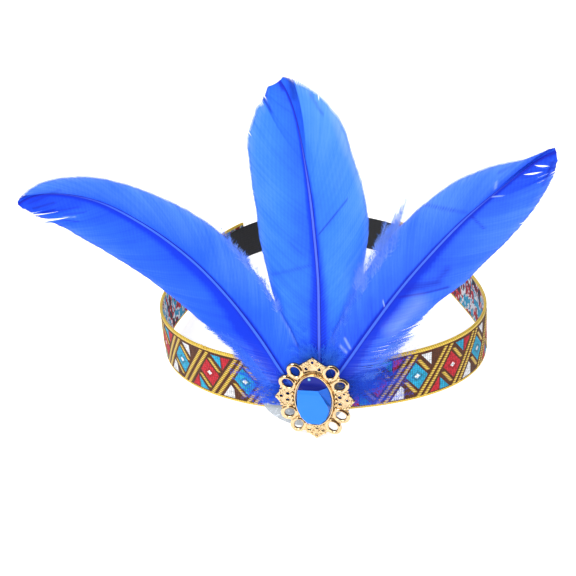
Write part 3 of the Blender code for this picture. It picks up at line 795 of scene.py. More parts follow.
# Unevenness that drifts along a vane, as amount and pitch: the barbs' length, their sway towards the
# tip, that of the loose ones, their lift off the vane and how light they are
CUT_DRIFT = ((0.008, 1.2), (0.010, 6.0))
SWAY_DRIFT = ((0.10, 2.5),)
LOOSE_DRIFT = ((0.5, 0.6),)
LIFT_DRIFT = ((0.16, 11.0), (0.03, 2.2))
STREAK_DRIFT = ((0.05, 1.3), (0.05, 4.0))

# Loose barbs and down
LOOSE_FADE = 14.0
HAIRS_EACH = 15
HAIR_LENGTH = 2.4
HAIR_HALF = 0.062
STRAND_HALF = 0.075
DOWN_LOWEST = 3.4

# Colours of all vanes, and how far along the shaft the darker parts reach
DEEP_TIP = 32.0
DARK_LOW = 50.0
SHADE_LOW = 62.0
SHADE_PITCH = 1.5
# Violet for painted shade
SHADE_VIOLET = (0.012, 0.022, 0.46)
# Pale blue for painted light, where light shows through thin barbs
LIGHT_THROUGH_BLUE = (0.42, 0.58, 0.97)

LEFT_ROWS = (
    # shaft x, shaft z, width of the vane left of the shaft, width of the one right of it, root to tip;
    # left and right are those of a feather that points up
    (-12.1, 12.3, 9.0, 9.0),
    (-18.0, 22.2, 12.0, 11.0),
    (-27.0, 39.2, 13.4, 13.0),
    (-39.4, 58.4, 17.6, 15.6),
    (-52.4, 73.8, 19.6, 16.4),
    (-69.8, 88.0, 20.2, 13.6),
    (-88.2, 97.6, 19.2, 9.4),
    (-107.1, 100.0, 13.8, 5.4),
    (-115.5, 98.2, 10.6, 3.2),
    (-119.0, 96.6, 7.6, 2.0),
    (-121.6, 95.0, 2.4, 0.8),
)
# The tables of the centre and the right feather have the same columns as the left one's
CENTRE_ROWS = (
    (-2.7, 12.0, 10.0, 10.0),
    (-2.2, 30.0, 13.0, 12.0),
    (-1.9, 46.0, 16.6, 14.6),
    (-1.8, 62.0, 19.9, 18.0),
    (-2.9, 82.0, 22.0, 21.9),
    (-4.0, 95.4, 22.2, 21.2),
    (-5.3, 106.3, 22.2, 19.0),
    (-7.1, 119.0, 21.2, 17.2),
    (-9.3, 130.0, 16.4, 11.4),
    (-11.8, 137.0, 12.0, 6.2),
    (-14.2, 141.0, 5.0, 1.5),
)
RIGHT_ROWS = (
    (1.6, 14.6, 7.0, 8.0),
    (9.0, 26.0, 10.0, 15.0),
    (18.8, 41.2, 12.6, 17.2),
    (30.8, 58.6, 15.6, 16.6),
    (42.7, 73.2, 16.9, 20.2),
    (56.5, 87.8, 15.0, 20.5),
    (72.0, 100.6, 8.6, 17.2),
    (81.9, 107.7, 2.2, 12.4),
    (86.8, 110.0, 1.6, 8.8),
    (89.6, 110.9, 1.2, 4.2),
)
LEFT_SPLITS = (
    # vane (1 left of the shaft, -1 right), length on the shaft where its barb starts, shares of the barb
    # where it opens and closes (1 at the vane's edge stays open), opening
    (1, 113.0, 0.42, 1.0, 1.9),
    (1, 119.5, 0.42, 1.0, 1.6),
    (1, 127.5, 0.60, 1.0, 0.8),
)
CENTRE_SPLITS = (
    (1, 84.0, 0.80, 1.0, 0.4),
    (1, 105.5, 0.74, 1.0, 0.7),
    (-1, 90.0, 0.82, 1.0, 0.5),
)
RIGHT_SPLITS = (
    (-1, 27.0, 0.60, 1.0, 0.9),
    (-1, 82.0, 0.80, 1.0, 0.5),
    (-1, 101.0, 0.62, 0.97, 0.5),
    (-1, 105.0, 0.85, 1.0, 0.8),
    (-1, 110.0, 0.55, 0.92, 0.6),
    (-1, 116.2, 0.06, 0.70, 1.4),
    (-1, 122.2, 0.04, 0.80, 1.4),
)
LEFT_LINES = (
    # line from x, z to x, z on a vane, half width, how dark it is as painted shade of a fold or crease; a
    # line of painted light, where light shows through, is below 0
    (-117.4, 95.5, -102.7, 101.4, 0.8, 0.5),
    (-115.5, 93.3, -105.8, 96.5, 0.9, 0.8),
    (-113.0, 91.1, -95.3, 95.0, 0.7, 0.5),
    (-112.4, 91.6, -106.0, 93.4, 0.7, 0.8),
    (-102.5, 91.3, -93.3, 92.8, 0.8, 0.6),
    (-114.0, 89.4, -97.0, 88.6, 0.7, 0.7),
    (-98.0, 90.6, -103.0, 90.3, 0.5, -0.35),
)
CENTRE_LINES = (
    (-14.5, 141.0, -12.8, 137.4, 1.1, 0.9),
    (-9.6, 141.0, -9.4, 134.0, 2.2, 0.45),
    (-2.8, 134.8, 1.5, 126.9, 0.9, 0.5),
    (-20.1, 134.2, -17.8, 128.7, 0.9, 0.6),
    (5.5, 129.0, 11.5, 112.0, 3.0, -0.34),
    (12.0, 112.0, 17.0, 96.0, 2.4, -0.34),
    (-20.4, 64.2, -4.4, 68.3, 0.6, 0.75),
    (-1.3, 80.4, 10.4, 93.9, 0.5, 0.9),
    (-13.0, 78.0, -8.0, 73.0, 0.4, 0.35),
)
RIGHT_LINES = (
    (31.0, 55.4, 41.0, 56.6, 1.2, 1.0),
    (41.0, 56.6, 50.5, 58.2, 1.0, 1.0),
    (34.0, 58.6, 46.0, 60.6, 3.6, 0.75),
    (44.5, 60.0, 49.5, 66.0, 2.8, 0.65),
    (28.5, 40.5, 38.5, 51.6, 6.5, -0.34),
    (88.6, 106.6, 86.0, 98.1, 1.3, 0.7),
    (57.3, 88.9, 63.5, 82.3, 0.6, 0.95),
    (56.1, 89.4, 40.1, 93.2, 0.6, 0.85),
    (65.5, 95.2, 69.8, 95.3, 0.4, -0.95),
    (67.1, 100.6, 66.9, 98.3, 0.5, -0.95),
    (68.0, 104.0, 74.0, 107.0, 0.9, 0.45),
    (24.2, 53.9, 25.0, 50.8, 0.4, -0.8),
    (8.7, 37.3, 10.7, 33.0, 0.8, -0.6),
    (6.6, 34.1, 9.0, 31.2, 1.0, -0.6),
)

# Rows have the same columns in each feather
FEATHERS = (
    {
        "name": "left",
        "tables": (LEFT_ROWS, LEFT_SPLITS, LEFT_LINES),
        "lean": 3.0,
        "curl": 0.0,
        "camber": 1.6,
        "reach": 24.0,
        "depth": 0.0,
        "colours": ((0.007, 0.040, 0.66), (0.025, 0.125, 0.89), (0.088, 0.25, 0.93)),
        "shaft": (0.050, 0.165, 0.88),
        "vanes": (
            # side, length of the loose base, how light, width of the deep zone beside the shaft, how dark
            # the down beside the quill and the tip are
            (1, 30.0, 0.44, 4.4, 0.0, 0.30),
            (-1, 6.0, 0.66, 0.6, 0.0, 0.36),
        ),
        "wisps": (
            # side, count, from and to length on the shaft, from and to share of the barb, how light; above
            # 1 it adds pale blue painted light, where light shows through
            (1, 90, 3.0, 26.0, 0.55, 1.10, 0.85),
            (-1, 26, 20.0, 46.0, 0.85, 1.14, 1.25),
        ),
        "tufts": (
            # count, root x and z, spread of the roots, angle and fan in degrees, lengths, how light
            (140, (-13.0, 14.0), (3.5, 7.0), 174, 36, 6.0, 23.0, 0.55),
        ),
    },
    {
        "name": "centre",
        "tables": (CENTRE_ROWS, CENTRE_SPLITS, CENTRE_LINES),
        "lean": 10.0,
        "curl": 6.0,
        "camber": 1.8,
        "reach": 24.0,
        "depth": 0.9,
        "colours": ((0.012, 0.060, 0.80), (0.042, 0.20, 0.92), (0.108, 0.325, 0.95)),
        "shaft": (0.09, 0.17, 0.86),
        "vanes": ((1, 14.0, 0.46, 2.0, 0.9, 0.10), (-1, 14.0, 0.60, 2.0, 0.9, 0.16)),
        "wisps": (
            (1, 14, 8.0, 26.0, 0.2, 0.9, 0.45),
            (-1, 14, 8.0, 26.0, 0.2, 0.9, 0.45),
        ),
        "tufts": (
            (30, (-5.0, 25.0), (2.5, 4.0), 118, 34, 5.0, 10.0, 0.5),
            (30, (0.5, 25.0), (2.5, 4.0), 62, 34, 5.0, 10.0, 0.5),
        ),
    },
    {
        "name": "right",
        "tables": (RIGHT_ROWS, RIGHT_SPLITS, RIGHT_LINES),
        "lean": 3.0,
        "curl": 0.0,
        "camber": 1.6,
        "reach": 21.0,
        "depth": 0.0,
        "colours": ((0.008, 0.036, 0.62), (0.037, 0.142, 0.89), (0.095, 0.265, 0.93)),
        "shaft": (0.062, 0.165, 0.87),
        "vanes": ((1, 6.0, 0.57, 0.6, 0.0, 0.25), (-1, 34.0, 0.48, 4.4, 0.0, 0.25)),
        "wisps": (
            (1, 34, 8.0, 28.0, 0.70, 1.15, 0.85),
            (1, 46, 28.0, 50.0, 0.70, 1.25, 1.26),
            (1, 40, 26.0, 50.0, 0.95, 1.50, 1.32),
            (-1, 44, 4.0, 34.0, 0.6, 1.10, 1.05),
        ),
        "tufts": (
            (180, (7.0, 14.0), (4.0, 7.0), 0, 32, 9.0, 28.0, 0.30),
        ),
    },
)


def slopes_of(knots, values, level):
    """Slopes of a curve through the values; a level curve never overshoots them."""
    rise = np.diff(values) / np.diff(knots)
    middle = (rise[1:] + rise[:-1]) / 2
    if level:
        product = rise[1:] * rise[:-1]
        total = np.where(product > 0, rise[1:] + rise[:-1], 1.0)
        middle = np.where(product > 0, 2 * product / total, 0.0)
    return np.concatenate(([rise[0]], middle, [rise[-1]]))


def smooth_read(knots, values, slopes, at):
    """Values of the smooth curve at places along it."""
    at = np.clip(at, knots[0], knots[-1])
    k = np.clip(np.searchsorted(knots, at) - 1, 0, len(knots) - 2)
    step = knots[k + 1] - knots[k]
    u = (at - knots[k]) / step
    start = (1 + 2 * u) * (1 - u) ** 2 * values[k] + u * (1 - u) ** 2 * step * slopes[k]
    return start + u * u * (3 - 2 * u) * values[k + 1] + u * u * (u - 1) * step * slopes[k + 1]


def drift(rng, places, table):
    """Smooth random numbers at places: by its amount, each row has one new value every pitch."""
    total = np.zeros(len(places))
    for amount, pitch in table:
        knots = np.arange(places.min() - pitch, places.max() + 2 * pitch, pitch)
        total += amount * np.interp(places, knots, rng.uniform(-1, 1, len(knots)))
    return total


def above_lowest(height):
    """Heights of barbs and down, turned up where they would hang below the ribbon."""
    return DOWN_LOWEST + np.abs(height - DOWN_LOWEST)


class Feather:
    """One feather's shaft line, vane widths and curved surface, read by the length along the shaft."""

    def __init__(self, plan):
        rows, self.splits, self.lines = plan["tables"]
        table = np.array(rows)
        steps = np.hypot(*np.diff(table[:, :2], axis=0).T)
        self.knots = np.concatenate(([0.0], np.cumsum(steps)))
        self.length = self.knots[-1]
        self.table = table
        self.slopes = [slopes_of(self.knots, table[:, k], level=k > 1) for k in range(4)]
        self.lean = math.tan(math.radians(plan["lean"]))
        self.curl = plan["curl"]
        self.camber = plan["camber"]
        self.barb_reach = plan["reach"]
        self.depth = plan["depth"]

    def read(self, column, along):
        """A column of the feather's rows at lengths from the root."""
        return smooth_read(self.knots, self.table[:, column], self.slopes[column], along)

    def shaft(self, along):
        """Shaft points across and up at lengths from the root."""
        return stacked(self.read(0, along), self.read(1, along))

    def left_way(self, along):
        """Unit direction from the shaft to the vane on its left."""
        ahead = self.shaft(np.minimum(along + 0.5, self.length)) - self.shaft(np.maximum(along - 0.5, 0.0))
        ahead = unit(ahead)
        return stacked(-ahead[..., 1], ahead[..., 0])

    def shaft_half_width(self, along):
        """Half the shaft's width, which tapers to the tip."""
        return QUILL_HALF_WIDTH + (SHAFT_TIP_HALF_WIDTH - QUILL_HALF_WIDTH) * along / self.length

    def width(self, side, along):
        """Vane width on one side, square to the shaft."""
        wide = self.read(2 if side > 0 else 3, along)
        return np.maximum(wide, self.shaft_half_width(along) + LEAST_VANE)

    def reach(self, along):
        """How far towards the tip a barb ends from where it leaves the shaft."""
        grown = np.minimum(1.0, along / DOWN_LENGTH)
        full = DOWN_REACH + (self.barb_reach - DOWN_REACH) * grown
        full = full * (1 + REACH_GROWTH * (along / self.length) ** 3)
        return np.minimum(full, (self.length - along) * TIP_TAPER)

    def surface(self, flat, out):
        """Lift flat places onto the feather's curved surface; out is the share of the vane."""
        x = flat[..., 0]
        z = above_lowest(flat[..., 1])
        rise = np.maximum(0.0, z - LEAN_HEIGHT)
        leaned = self.lean * rise * rise / (rise + LEAN_EASE)
        curled = self.curl * np.maximum(0.0, (z - CURL_START) / (CURL_END - CURL_START)) ** 2
        back = self.depth + leaned + SWEEP_BACK * x * x + self.camber * out * out - curled
        return stacked(x, LOOP.front - ROOT_DEPTH + back, z)

    def barb_flat(self, side, along, out, shift):
        """Flat places at shares out along the barbs from lengths on the shaft, shifted tipwards."""
        end = np.minimum(along + self.reach(along), self.length)
        root = self.shaft(along)
        chord = self.shaft(end) + side * self.left_way(end) * self.width(side, end)[..., None] - root
        tipwards = side * stacked(chord[..., 1], -chord[..., 0])
        bow = 2 * out * (out - 1) * BARB_BOW
        return root + chord * out[..., None] + tipwards * bow[..., None] + unit(tipwards) * shift[..., None]

    def on_lines(self, flat):
        """How far each flat place is on a line of painted shade and on one of painted light, from 0 to 1.
        """
        found = np.zeros((2, *flat.shape[:-1]))
        for x, z, end_x, end_z, half, strength in self.lines:
            way = np.array((end_x - x, end_z - z))
            along = clamped((flat - (x, z)) @ way / (way @ way))
            gap = np.linalg.norm(flat - (x, z) - along[..., None] * way, axis=-1)
            share = clamped(1 - gap / half) * abs(strength)
            kind = 0 if strength > 0 else 1
            found[kind] = np.maximum(found[kind], share)
        return found

    def split_shift(self, side, along, out):
        """How far barbs beside a split are moved tipwards or back, away from the split."""
        shift = np.zeros_like(along)
        for vane, place, opens, closes, opening in self.splits:
            if vane != side:
                continue
            share = clamped((out - opens) / (closes - opens))
            if closes < 1:
                share = 4 * share * (1 - share)
            far = along - place
            shift += np.sign(far + 1e-6) * opening / 2 * share * np.exp(-np.abs(far) / SPLIT_FADE)
        return shift


def add_blades(batch, paths, across, half, front, thick, marks):
    """Closed three-sided blades along paths (blades, points, 3), as wide as half on each side."""
    count, size = paths.shape[:2]
    across = across * half[..., None]
    low = paths - across + front * thick * 0.5
    ridge = paths + front * thick
    high = paths + across - front * thick * 0.4
    blade = grid_faces(size, 3, ring_columns=True)
    last = 3 * size
    ends = np.array(((0, 1, 2), (last - 1, last - 2, last - 3)))
    starts = np.arange(count)[:, None, None] * last
    batch.add(
        np.stack((low, ridge, high), axis=2),
        (blade + starts).reshape(-1, 4),
        (ends + starts).reshape(-1, 3),
        marks=np.repeat(np.broadcast_to(marks, paths.shape)[:, :, None, :], 3, axis=2),
    )


def add_vane(batch, feather, seed, side, loose_end, light, deep, quill_shade, tip_shade):
    """The barbs of one vane, each a thin blade that laps over the one below it; loose near the quill."""
    rng = np.random.default_rng(seed)

    # Where each barb runs: its length and sway vary from barb to barb, more so near the quill
    along = np.arange(BARE_QUILL, feather.length - 0.3, BARB_STEP)
    out = np.linspace(0, 1, BARB_POINTS)
    length, share = np.meshgrid(along, out, indexing="ij")
    loose = clamped((loose_end - along) / LOOSE_FADE)[:, None]
    chance = rng.uniform(0, 1, (4, len(along), 1))
    cut = 1 + drift(rng, along, CUT_DRIFT)
    cut = cut + loose[:, 0] * (0.28 * chance[0, :, 0] - 0.24)
    sway = drift(rng, along, SWAY_DRIFT)[:, None] * share ** 2
    sway = sway + loose * drift(rng, along, LOOSE_DRIFT)[:, None] * share ** 1.6
    shift = feather.split_shift(side, length, share) + sway
    flat = feather.barb_flat(side, length, share * cut[:, None], shift)
    points = feather.surface(flat, share)
    outwards = unit(np.gradient(points, axis=1))
    onwards = np.gradient(points, axis=0)
    front = unit(np.cross(outwards, onwards))
    front = front * np.where(front[..., 1:2] > 0, -1.0, 1.0)
    lift = drift(rng, along, LIFT_DRIFT)[:, None] * share
    lift = lift + loose * 0.5 * (chance[1] - 0.3) * share ** 1.5
    points = points + front * lift[..., None]

    # How wide it is, so that it laps over the next one
    across = onwards - outwards * np.sum(onwards * outwards, axis=-1, keepdims=True)
    half = np.minimum(np.linalg.norm(across, axis=-1) * BARB_COVER, BARB_MOST_HALF_WIDTH)
    half = half * (1 - 0.25 * loose) * (1 - 0.55 * loose * share)
    half = half * np.clip((1.02 - share) / 0.10, 0.25, 1)

    # Marks: how light it is, its share of violet painted shade (beside the shaft and in folds and creases)
    # and its share of pale blue painted light, where light shows through thin and loose barbs
    dark, pale = feather.on_lines(flat) * (0.65 + 0.35 * chance[2])
    streak = drift(rng, along, STREAK_DRIFT) + 0.10 * (chance[3, :, 0] - 0.5)
    beside = share * feather.width(side, length)
    zone = clamped(1.3 - beside / (0.6 + deep * clamped(1 - length / feather.length)))
    tone = light - 0.24 + 0.42 * share ** 0.8 + streak[:, None] * (0.4 + share)
    far = length + 0.5 * share * feather.reach(length)
    tone = tone - tip_shade * clamped((DEEP_TIP - feather.length + far) / DEEP_TIP)
    tone = tone - 0.20 * clamped(1 - length / DARK_LOW) - 0.5 * zone
    low = clamped(1 - length / SHADE_LOW)
    bands = 0.6 + 0.4 * np.sin(length * (2 * math.pi / SHADE_PITCH))
    # Painted shadow of the shaft in a narrow line beside it
    shade = 0.7 * clamped(1.3 - beside / 0.8)
    shade = np.maximum(shade, quill_shade * low ** 0.5 * bands * clamped(1.4 - beside / 2.4))
    shade = np.maximum(dark, shade)
    # Pale blue painted light where light shows through loose barbs and the vane's thin outer edge
    pale = np.maximum(pale, loose * share * (0.05 + 0.3 * chance[1]))
    pale = np.maximum(pale, clamped(share * 5 - 4.2) * 0.32 * chance[2])
    marks = stacked(tone, shade, pale)
    add_blades(batch, points, unit(across), half, front, BARB_THICK, marks)


def add_strands(batch, rng, paths, light):
    """Loose strands along paths (strands, points, 3), with fine hairs on both sides."""
    count, size = paths.shape[:2]
    place = np.linspace(0.06, 0.98, HAIRS_EACH) * (size - 1)
    k = np.minimum(place.astype(int), size - 2)
    root = paths[:, k] + (paths[:, k + 1] - paths[:, k]) * (place - k)[:, None]
    ahead = unit(paths[:, k + 1] - paths[:, k])
    across = unit(np.cross(ahead, FRONT))
    hairs = []
    each = (count, HAIRS_EACH, 1)
    for side in (1, -1):
        angle = rng.uniform(0.4, 1.0, each)
        far = HAIR_LENGTH * rng.uniform(0.4, 1.2, each) * (1.15 - 0.6 * place[:, None] / size)
        way = ahead * np.cos(angle) + side * across * np.sin(angle)
        way = way + FRONT * rng.uniform(-0.3, 0.4, each)
        hairs.append(np.stack([root, root + way * far], axis=2).reshape(-1, 2, 3))
    for lines, wide in ((paths, STRAND_HALF), (np.concatenate(hairs), HAIR_HALF)):
        lines[..., 2] = above_lowest(lines[..., 2])
        ahead = unit(np.gradient(lines, axis=1))
        across = unit(np.cross(ahead, FRONT))
        taper = wide * np.linspace(1, 0.4, lines.shape[1])
        tone = np.broadcast_to(light + rng.uniform(-0.2, 0.2, (len(lines), 1)), lines.shape[:2])
        # A tone above 1 becomes pale blue painted light, where light shows through the strands
        marks = stacked(np.minimum(tone, 1.0), 0 * tone, np.maximum(tone - 1.0, 0.0))
        add_blades(batch, lines, across, np.broadcast_to(taper, lines.shape[:2]), FRONT, 0.7 * wide, marks)


def add_wisps(batch, rng, feather, side, count, start, end, share_from, share_to, light):
    """Loose barbs that leave a vane between two lengths along the shaft and stand out past its edge."""
    along = rng.uniform(start, end, (count, 1))
    last = rng.uniform(share_from + 0.15, share_to, (count, 1))
    out = share_from + (last - share_from) * np.linspace(0, 1, 9)
    shift = rng.uniform(-1.6, 1.6, (count, 1)) * (out - share_from) ** 2
    flat = feather.barb_flat(side, along + 0 * out, out, shift)
    paths = feather.surface(flat, np.minimum(out, 1.0))
    paths = paths + FRONT * (rng.uniform(-0.6, 0.5, (count, 1)) * out)[..., None]
    add_strands(batch, rng, paths, light)


def add_tuft(batch, rng, count, middle, spread, angle, fan, shortest, longest, light):
    """Down that springs from a quill over the ribbon: curved strands that fan out round an angle."""
    root = np.array(middle) + rng.uniform(-1, 1, (count, 2)) * np.array(spread)
    aim = np.radians(angle + fan * rng.uniform(-1, 1, (count, 1)))
    bend = rng.uniform(-0.6, 0.6, (count, 1))
    share = np.linspace(0, 1, 9)
    far = (shortest + (longest - shortest) * rng.uniform(0, 1, (count, 1))) / 8
    turn = aim + bend * share ** 1.5
    x = root[:, :1] + np.cumsum(np.cos(turn) * far, axis=1)
    z = above_lowest(root[:, 1:] + np.cumsum(np.sin(turn) * far, axis=1))
    lift = 1.5 + rng.uniform(0, 1.8, (count, 1)) + 1.2 * rng.uniform(-0.6, 1, (count, 1)) * share
    y = LOOP.depth_at(x, np.clip(z, 0.0, RIBBON_HEIGHT)) - lift
    add_strands(batch, rng, stacked(x, y, z), light)


def vane_look(name, deep, middle, light):
    """Dyed vane: deeper beside the shaft, lighter outwards, streaked along its barbs, with violet painted
    shade and pale blue painted light from its marks.
    """
    look = Look(name, 0.50, Specular_IOR_Level=0.06)
    tone, shade, pale = look.mark()
    cloud = look.noise(look.spot(), 0.045, 3.0)
    fine = look.noise(look.spot(), 0.9, 2.0)
    ripple = look.bands(look.spot((1.0, 0.35, 0.35)), 1.25, 26.0)
    tone = tone + cloud * 0.5 + fine * 0.10 + ripple * 0.055 - 0.33
    colour = look.mix(clamped(tone * 2.0), deep, middle)
    colour = look.mix(clamped(tone * 2.0 - 1.0), colour, light)
    # Painted shade in violet
    colour = look.mix(shade, colour, SHADE_VIOLET)
    # Painted light in pale blue, where light shows through
    look.set("Base Color", look.mix(pale, colour, LIGHT_THROUGH_BLUE))
    return look.material


def add_shaft(batch, feather):
    """The shaft: a tapering rod with a shallow groove along its front."""
    along = np.linspace(0.0, feather.length, 150)
    turn = once_round(14)
    length, angle = np.meshgrid(along, turn, indexing="ij")
    half = feather.shaft_half_width(length) * np.clip((feather.length - length) / SHAFT_THIN, 0.25, 1)
    groove = 1 - GROOVE_DEPTH * np.exp(-((angle - math.pi / 2) / GROOVE_HALF_ANGLE) ** 2)
    across = half * SHAFT_SECTION[0] * np.cos(angle)
    out = half * SHAFT_SECTION[1] * np.sin(angle) * groove
    flat = feather.shaft(length) + feather.left_way(length) * across[..., None]
    points = feather.surface(flat, np.zeros_like(length))
    points[..., 1] -= out + SHAFT_LIFT
    faint = clamped((feather.length - length) / SHAFT_FADE)
    # Marks: the front ridges' painted highlight, fading to the tip, and the sides' painted shade
    marks = stacked(np.sin(angle) * groove * faint, np.abs(np.cos(angle)), 0 * length)
    tube(batch, points, marks)


def shaft_look(name, light):
    """Dyed shaft with painted light: painted highlights along its two ridges, painted shade at its sides
    and in its groove.
    """
    look = Look(name, 0.50, Specular_IOR_Level=0.15)
    ridge, edge, _ = look.mark()
    grain = look.noise(look.spot((4.0, 4.0, 1.0)), 0.5)
    tone = clamped(ridge * 1.6 - edge * 0.9 + grain * 0.3 - 0.15)
    look.set("Base Color", look.mix(tone, SHADE_VIOLET, light))
    look.bump(grain, 0.05)
    return look.material


def build_feathers():
    """Vanes, shaft and down of each feather."""
    for number, plan in enumerate(FEATHERS):
        feather = Feather(plan)
        node = "feather_" + plan["name"]
        look = vane_look(plan["name"] + "_vane", *plan["colours"])
        vane = Batch()
        for row in plan["vanes"]:
            add_vane(vane, feather, 10 * number + row[0] + 1, *row)
        vane.piece(node + "_vane", look, [node])
        shaft = Batch()
        add_shaft(shaft, feather)
        shaft.piece(node + "_shaft", shaft_look(plan["name"] + "_shaft", plan["shaft"]), [node])
        rng = np.random.default_rng(100 + number)
        down = Batch()
        for wisp in plan["wisps"]:
            add_wisps(down, rng, feather, *wisp)
        for tuft in plan["tufts"]:
            add_tuft(down, rng, *tuft)
        down.piece(node + "_down", look)


# Brooch, as in the part's source, in mm: across is local X, up is local Y, out of the front is local Z
BROOCH_CENTRE = (-4.5, 11.1)
BROOCH_DEPTH = 6.0
BROOCH_YAW = math.radians(-11)
BROOCH_ROLL = math.radians(1.3)
PLATE_THICK = 1.1
PLATE_ROUNDING = 0.22
PLATE_HALF = (14.6, 17.7)
TIP_REACH = (17.2, 20.3)
TIP_HALF_WIDTH = 3.2
TIP_LENGTH = 2.4
RING_CENTRES = ((7.5, 13.3), (11.1, 7.4))
RING_HOLE = (2.3, 1.8)
PLATE_HOLE_MORE = 0.4
RING_WIRE = 0.9
RING_LEVEL = 1.0

# Dark arc of painted reflection on each ring, the beaded rope round the stone, dark as painted shade, with
# its slots of painted shade, rims and curled wires
REFLECTION_ARC_FROM = 18
REFLECTION_ARC_TURN = 1.35
REFLECTION_ARC_OUT = 1.15
REFLECTION_ARC_RISE = 0.66
REFLECTION_ARC_WIRE = 0.41
ROPE_OUT = 2.0
ROPE_LEVEL = 0.95
ROPE_WIRE = 0.42
ROPE_BEAD = 0.68
ROPE_BEAD_LEVEL = 1.25
SLOT_OUT = 2.1
SLOT_SUNK = 0.12
SLOT_WIRE = 0.34
RIM_OUT = 0.25
RIM_WIRE = 0.26
CURL_LEVEL = 1.1
CURL_END_WIRE = 0.25

# Stone and its wall
STONE_HALF = (7.4, 11.75)
STONE_GIRDLE = 2.4
STONE_TOP = 5.2
STONE_BACK = 1.4
STONE_GAP = 0.3
WALL_THICK = 0.7
WALL_SECTION = np.array([
    # across the wall and up it
    (-0.35, 0.6),
    (-0.35, 2.45),
    (-0.28, 2.7),
    (-0.10, 2.8),
    (0.10, 2.8),
    (0.28, 2.68),
    (0.36, 2.4),
    (0.40, 1.9),
    (0.62, 1.5),
    (0.66, 1.1),
    (0.66, 0.6),
])
HOLES = (
    # x, y, half width, half height of the small piercings, turned by an angle in degrees
    (2.7, 14.8, 0.7, 0.75, 0),
    (-2.7, 14.8, 0.7, 0.75, 0),
    (0.0, 18.1, 0.55, 0.7, 0),
    (-14.3, 0.6, 0.7, 0.65, 0),
    (14.0, 0.3, 0.6, 0.55, 0),
    (-11.4, 2.0, 0.8, 0.7, 0),
    (-11.6, -1.2, 0.8, 0.6, 0),
    (10.9, 1.7, 0.8, 0.7, 0),
    (10.9, -1.7, 0.8, 0.7, 0),
    (-12.2, 3.9, 0.9, 0.4, 0),
    (-11.4, -4.1, 1.0, 0.45, 0),
    (12.7, 3.5, 0.5, 0.45, 0),
    (0.3, -14.9, 0.85, 0.45, -25),
    (-2.9, -16.0, 1.1, 0.42, 12),
    (3.0, -16.0, 1.0, 0.42, -14),
    (0.0, -18.6, 0.5, 0.5, 0),
)
SLOTS = (
    # narrow dark slots in the casting above the stone, drawn as dark wires of painted shade, from and to an
    # angle in degrees
    (61, 70),
    (73, 84),
    (96, 107),
    (110, 119),
)
# The beads, counted round the stone, that the slots take the place of
SLOT_BEADS = range(7, 14)
BEADS = (
    # x, y and radius of the beads between the rings, mirrored across both axes
    (TIP_REACH[0] - 0.95, 0.0, 0.72),
    (14.9, 2.1, 0.55),
    (14.6, 3.6, 0.50),
    (14.3, 5.0, 0.45),
    (0.0, TIP_REACH[1] - 1.0, 0.75),
    (2.0, 17.9, 0.60),
    (3.8, 17.2, 0.55),
    (4.9, 16.0, 0.50),
    (1.3, 16.5, 0.55),
)
CURLS = (
    # curled wires, mirrored too: from and to angle, size and how fast it shrinks, middle, stretch, wire
    (-0.5, 1.30 * math.pi, 1.9, 0.30, (12.6, 3.4), (0.8, 0.55), 0.45),
    (-0.3, 1.25 * math.pi, 1.7, 0.26, (2.9, 15.6), (1.0, 0.80), 0.42),
)
STONE_CORNERS = (
    # corner of the table x and y, angle in degrees of the girdle's point that its edge runs to, and how
    # light the facet after it is painted, as painted reflection
    (2.6, 6.9, 36, 0.04),
    (-6.0, 6.7, 142, 0.60),
    (-6.6, 1.8, 172, 0.30),
    (-6.7, -2.4, 196, 0.80),
    (-5.4, -6.8, 230, 0.62),
    (-2.7, -9.8, 250, 0.50),
    (2.7, -9.9, 290, 0.55),
    (5.2, -7.4, 310, 0.85),
    (6.7, -2.8, 338, 0.62),
    (6.4, -0.6, 350, 0.50),
)

BROOCH_PLACE = (
    REST
    @ Matrix.Translation((BROOCH_CENTRE[0], LOOP.front - BROOCH_DEPTH, BROOCH_CENTRE[1]))
    @ Matrix.Rotation(BROOCH_YAW, 4, "Z")
    @ Matrix.Rotation(math.radians(90), 4, "X")
    @ Matrix.Rotation(BROOCH_ROLL, 4, "Z")
)


def oval(half, turn, more=0.0):
    """Points on an oval of a half size, one for each angle; more widens it on all sides."""
    return stacked((half[0] + more) * np.cos(turn), (half[1] + more) * np.sin(turn))


def four_ways(x, y):
    """A place and its mirror images across both axes."""
    return [(x, y), (-x, y), (-x, -y), (x, -y)]


def rings():
    """Centre of each of the eight rings and the angle that its hole is turned by."""
    spots = [spot for base in RING_CENTRES for spot in four_ways(*base)]
    return [(spot, math.atan2(spot[1], spot[0])) for spot in spots]


def add_swept(batch, path, across, up, mark, closed=True):
    """A section swept along flat points (n, 2), from its places across and up and its marks."""
    ahead = np.roll(path, -1, 0) - np.roll(path, 1, 0) if closed else np.gradient(path, axis=0)
    ahead = unit(ahead)
    normal = stacked(ahead[:, 1], -ahead[:, 0])
    beside = path[:, None, :] + normal[:, None, :] * across[..., None]
    height = np.broadcast_to(up, beside.shape[:2])
    grid = np.concatenate((beside, height[..., None]), axis=-1)
    marks = np.broadcast_to(mark[:, None], grid.shape)
    if closed:
        batch.add(grid, grid_faces(*grid.shape[:2], ring_rows=True, ring_columns=True), marks=marks)
    else:
        tube(batch, grid, marks)


def add_wire(batch, path, wire, level, closed=True, tone=1.0):
    """A round wire along flat points; its half thickness may vary. Its tone makes the top lighter than the
    underside, partly tarnish and partly painted shade; at 0 the whole wire is dark, and below 0 its top is
    darkest, which paints shade or a dark reflection.
    """
    turn = once_round(16)
    wire = np.broadcast_to(wire, len(path))[:, None]
    add_swept(batch, path, wire * np.cos(turn), level + wire * np.sin(turn), tone * np.sin(turn), closed)


